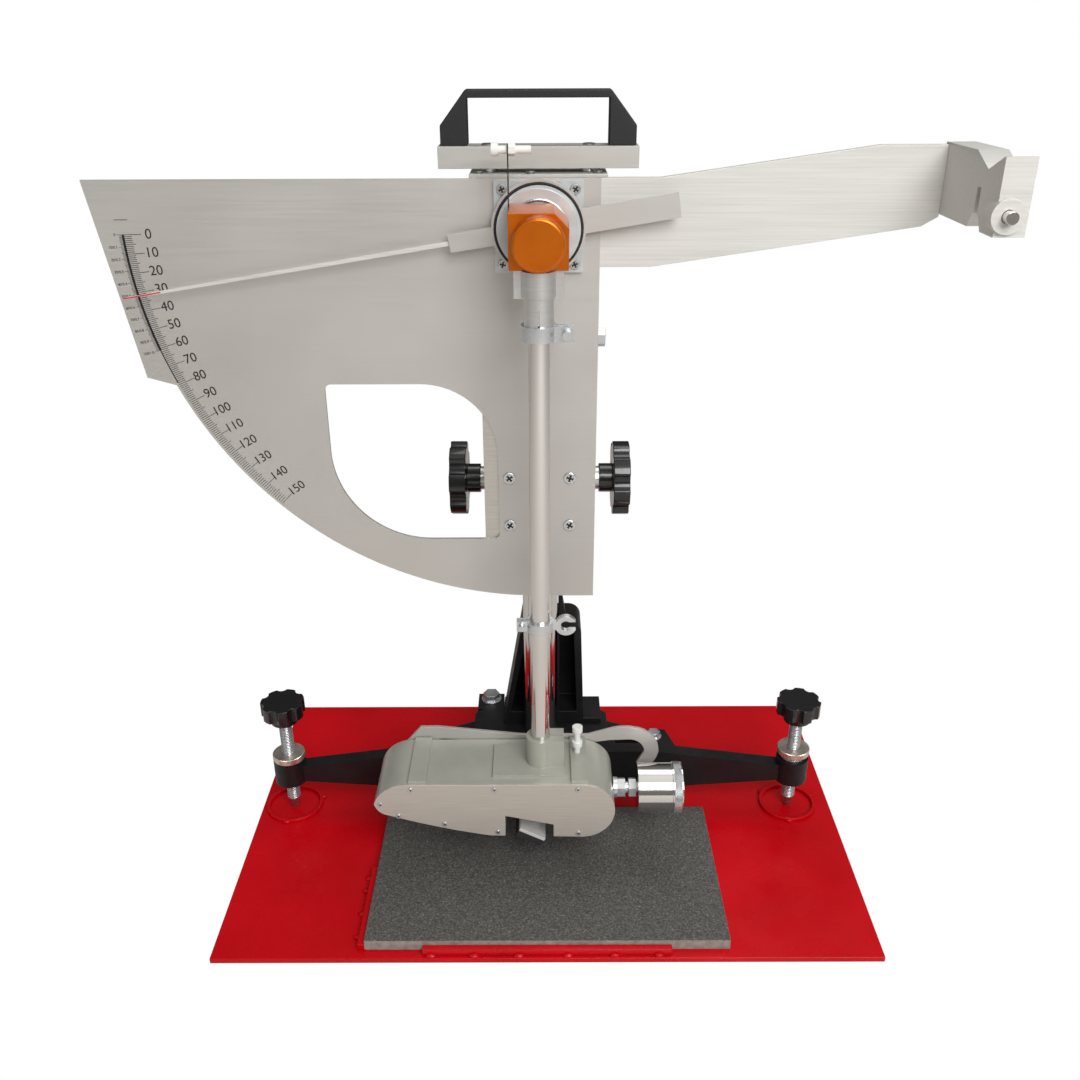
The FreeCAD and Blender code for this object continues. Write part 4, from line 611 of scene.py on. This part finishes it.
def threaded_rod(name, replaced, body, centre, low, high, radius, pitch, tip_radius):
    """A rolled thread: a V profile carried up the rod, over a plain core."""
    work = bmesh.new()
    depth = pitch * 0.5
    x, y = centre
    core = radius - depth
    ring_profile(work, [(0.01, low), (tip_radius, low), (tip_radius, low + 9), (core, low + 9),
                        (core, high), (0.01, high)], (0, 0, 1), (x * MM, y * MM, 0), 24)
    start = low + 10
    turns = int((high - start - pitch) / pitch)
    section = [(core - 0.1, start), (core - 0.1, start + pitch * 0.98),
               (radius, start + pitch * 0.62), (radius, start + pitch * 0.38)]
    verts = [work.verts.new(Vector((x + r, y, z)) * MM) for r, z in section]
    edges = [work.edges.new((verts[i], verts[(i + 1) % 4])) for i in range(4)]
    per_turn = 18
    bmesh.ops.spin(work, geom=verts + edges, cent=(x * MM, y * MM, 0), axis=(0, 0, 1),
                   angle=math.tau * turns, steps=per_turn * turns,
                   dvec=(0, 0, pitch / per_turn * MM))
    piece = finish_piece(name, work, "zinc", body, True)
    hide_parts(replaced)


KNURL_DEPTH = 0.3


def knurled_ring(name, body, axis, centre, inner, outer, low, high, teeth, finish,
                 replaced=None, rows=1):
    """A ring whose rim carries knurling: straight in one row, diamonds in several."""
    work = bmesh.new()
    steps = teeth * 2
    pitch = (high - low - 1.0) / rows
    rim = [(outer, low + 0.5 + pitch * row) for row in range(rows + 1)]
    ring_profile(work, [(inner, low), (outer - 0.5, low), *rim, (outer - 0.5, high), (inner, high)],
                 axis, centre, steps)
    middle = Vector(centre)
    along = Vector(axis)
    across = along.orthogonal().normalized()
    for vert in work.verts:
        offset = vert.co - middle
        radial = offset - along * offset.dot(along)
        if radial.length > (outer - 0.6) * MM:
            turn = math.atan2(radial.cross(across).dot(along), radial.dot(across))
            row = round((offset.dot(along) / MM - low - 0.5) / pitch) if rows > 1 else 0
            if (round(turn / math.tau * steps) + row) % 2:
                vert.co -= radial.normalized() * KNURL_DEPTH * MM
    piece = finish_piece(name, work, finish, body)
    if replaced:
        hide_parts(replaced)
    return piece


FOOT_PLACES = {"left": (-239.5, 72.5), "right": (239.5, 72.5), "rear": (0.0, 195.0)}
NUT_LOW = {"left": 62.3, "right": 67.0, "rear": 62.3}


def levelling_hardware():
    for foot, (x, y) in FOOT_PLACES.items():
        threaded_rod(foot + "_screw_thread", foot + "_levelling_screw", foot + "_foot", (x, y),
                     5.0, 114.0, 6.0, 1.75, 4.0)
        knurled_ring(foot + "_knurled_nut", foot + "_nut", (0, 0, 1), (x * MM, y * MM, 0), 6.08, 15.0,
                     NUT_LOW[foot], NUT_LOW[foot] + 6.0, 72, "nickel", foot + "_lock_nut")


def weight_knurl():
    knurled_ring("weight_knurling", "weight", (1, 0, 0), (0, 0, 83.8 * MM), 21.0, 22.1, 115.5, 122.9,
                 60, "zinc", rows=6)


# Small things on the foot and the plate

def foot_heads():
    heads = bmesh.new()
    recess_shade = bmesh.new()
    places = [(-110, 107.3), (-39, 107.3), (-136.5, 92), (-121.6, 79.5), (-82.3, 70.7), (-37, 61.9),
              (31.5, 107.3), (32.5, 60.3)]
    for i, (x, z) in enumerate(places):
        cross_head(heads, recess_shade, (x, -32.5, z), 2.1, 0.9, turn=0.5 * i)
    finish_piece("foot_screw_heads", heads, "zinc", "pendulum")
    # The black discs under the crosses are painted shade in the screw recesses
    finish_piece("foot_screw_recess_shade", recess_shade, "matte", "pendulum")


def weld_bead(work, x, y, z, size, seed):
    made = bmesh.ops.create_uvsphere(work, u_segments=12, v_segments=8, radius=size * MM)
    for i, vert in enumerate(made["verts"]):
        bulge = 1 + 0.12 * math.sin(seed + i * 1.7)
        vert.co = Vector((vert.co.x * 1.7 * bulge, vert.co.y * bulge, vert.co.z * 0.75 * bulge))
        vert.co += Vector((x, y, z)) * MM


def weld_beads():
    work = bmesh.new()
    for i, x in enumerate((-90, -55, -18, 22, 60, 96)):
        weld_bead(work, x, -115.4, 5.6, 2.6, i)
    for i, y in enumerate((-96, -70, -44, -28)):
        weld_bead(work, -151.4, y, 5.6, 2.8, i * 3)
    for x, y in FOOT_PLACES.values():
        for turn in (0.4, 2.5, 4.6):
            weld_bead(work, x + 26.5 * math.cos(turn), y + 26.5 * math.sin(turn), 6.0, 2.4, turn)
    finish_piece("weld_beads", work, "enamel", "stand", True)


# Studio: bright overhead, dim near the horizon, behind the object and at its left, so that
# enamel, chrome and black pieces keep their depth

WORLD_LEVELS = [(0.0, 0.16), (0.3, 0.20), (0.6, 0.62), (1.0, 0.95)]
BACK_LEVEL = 0.25
LEFT_LEVEL = 0.3


def seen_white(tree, plain, output):
    """White to the camera, the plain shader to every other ray."""
    white = tree.nodes.new("ShaderNodeEmission")
    path = tree.nodes.new("ShaderNodeLightPath")
    mix = tree.nodes.new("ShaderNodeMixShader")
    tree.links.new(path.outputs["Is Camera Ray"], mix.inputs["Fac"])
    tree.links.new(plain, mix.inputs[1])
    tree.links.new(white.outputs["Emission"], mix.inputs[2])
    tree.links.new(mix.outputs["Shader"], output.inputs["Surface"])


def studio():
    floor_mesh = bmesh.new()
    bmesh.ops.create_grid(floor_mesh, x_segments=1, y_segments=1, size=6)
    mesh = bpy.data.meshes.new("floor")
    floor_mesh.to_mesh(mesh)
    floor_mesh.free()
    floor = bpy.data.objects.new("floor", mesh)
    bpy.context.scene.collection.objects.link(floor)
    material = new_material("floor_white", (0.66, 0.63, 0.60), roughness=0.8)
    tree = material.node_tree
    seen_white(tree, tree.nodes["Principled BSDF"].outputs["BSDF"], tree.nodes["Material Output"])
    mesh.materials.append(material)
    world = bpy.data.worlds.new("studio")
    bpy.context.scene.world = world
    world.use_nodes = True
    tree = world.node_tree
    place = tree.nodes.new("ShaderNodeTexCoord")
    split = tree.nodes.new("ShaderNodeSeparateXYZ")
    tree.links.new(place.outputs["Generated"], split.inputs["Vector"])
    shade = tree.nodes.new("ShaderNodeValToRGB")
    shade.color_ramp.elements.new(0.3)
    shade.color_ramp.elements.new(0.6)
    for element, (position, level) in zip(shade.color_ramp.elements, WORLD_LEVELS):
        element.position = position
        element.color = (level, level * 0.98, level * 0.95, 1)
    tree.links.new(split.outputs["Z"], shade.inputs["Fac"])
    sky = tree.nodes["Background"]
    both = tree.nodes.new("ShaderNodeMath")
    both.operation = "MULTIPLY"
    for i, (axis, start, end, low, high) in enumerate((("Y", 0.0, 0.7, 1.0, BACK_LEVEL),
                                                       ("X", -0.6, 0.1, LEFT_LEVEL, 1.0))):
        side = tree.nodes.new("ShaderNodeMapRange")
        for field, value in (("From Min", start), ("From Max", end), ("To Min", low), ("To Max", high)):
            side.inputs[field].default_value = value
        tree.links.new(split.outputs[axis], side.inputs["Value"])
        tree.links.new(side.outputs["Result"], both.inputs[i])
    tree.links.new(both.outputs["Value"], sky.inputs["Strength"])
    tree.links.new(shade.outputs["Color"], sky.inputs["Color"])
    seen_white(tree, sky.outputs["Background"], tree.nodes["World Output"])
    lamp("key", (0.7, -1.7, 1.7), 1.3, 41)
    lamp("fill", (-1.5, -1.2, 1.2), 1.4, 3)
    lamp("rim", (0.3, 0.9, 2.3), 1.0, 7)


def lamp(name, place, size, power):
    light = bpy.data.lights.new(name, "AREA")
    light.size = size
    light.energy = power
    shown = bpy.data.objects.new(name, light)
    shown.location = place
    shown.rotation_euler = (Vector((0, 0, 0.3)) - Vector(place)).to_track_quat("-Z", "Y").to_euler()
    bpy.context.scene.collection.objects.link(shown)


def camera():
    data = bpy.data.cameras.new("camera")
    data.sensor_width = 36
    data.lens = 35
    data.clip_start = 0.01
    shown = bpy.data.objects.new("camera", data)
    shown.location = Vector((1.45, -740, 680.6)) * MM
    shown.rotation_euler = (math.radians(64.36), 0.0035, 0)
    bpy.context.scene.collection.objects.link(shown)
    bpy.context.scene.camera = shown


dress_nodes()
printed_scale()
needle_tip()
bearing_trim()
faceplate_heads()
handle_screws()
levelling_hardware()
weight_knurl()
foot_heads()
weld_beads()
studio()
camera()
bpy.context.scene.view_settings.view_transform = "Standard"
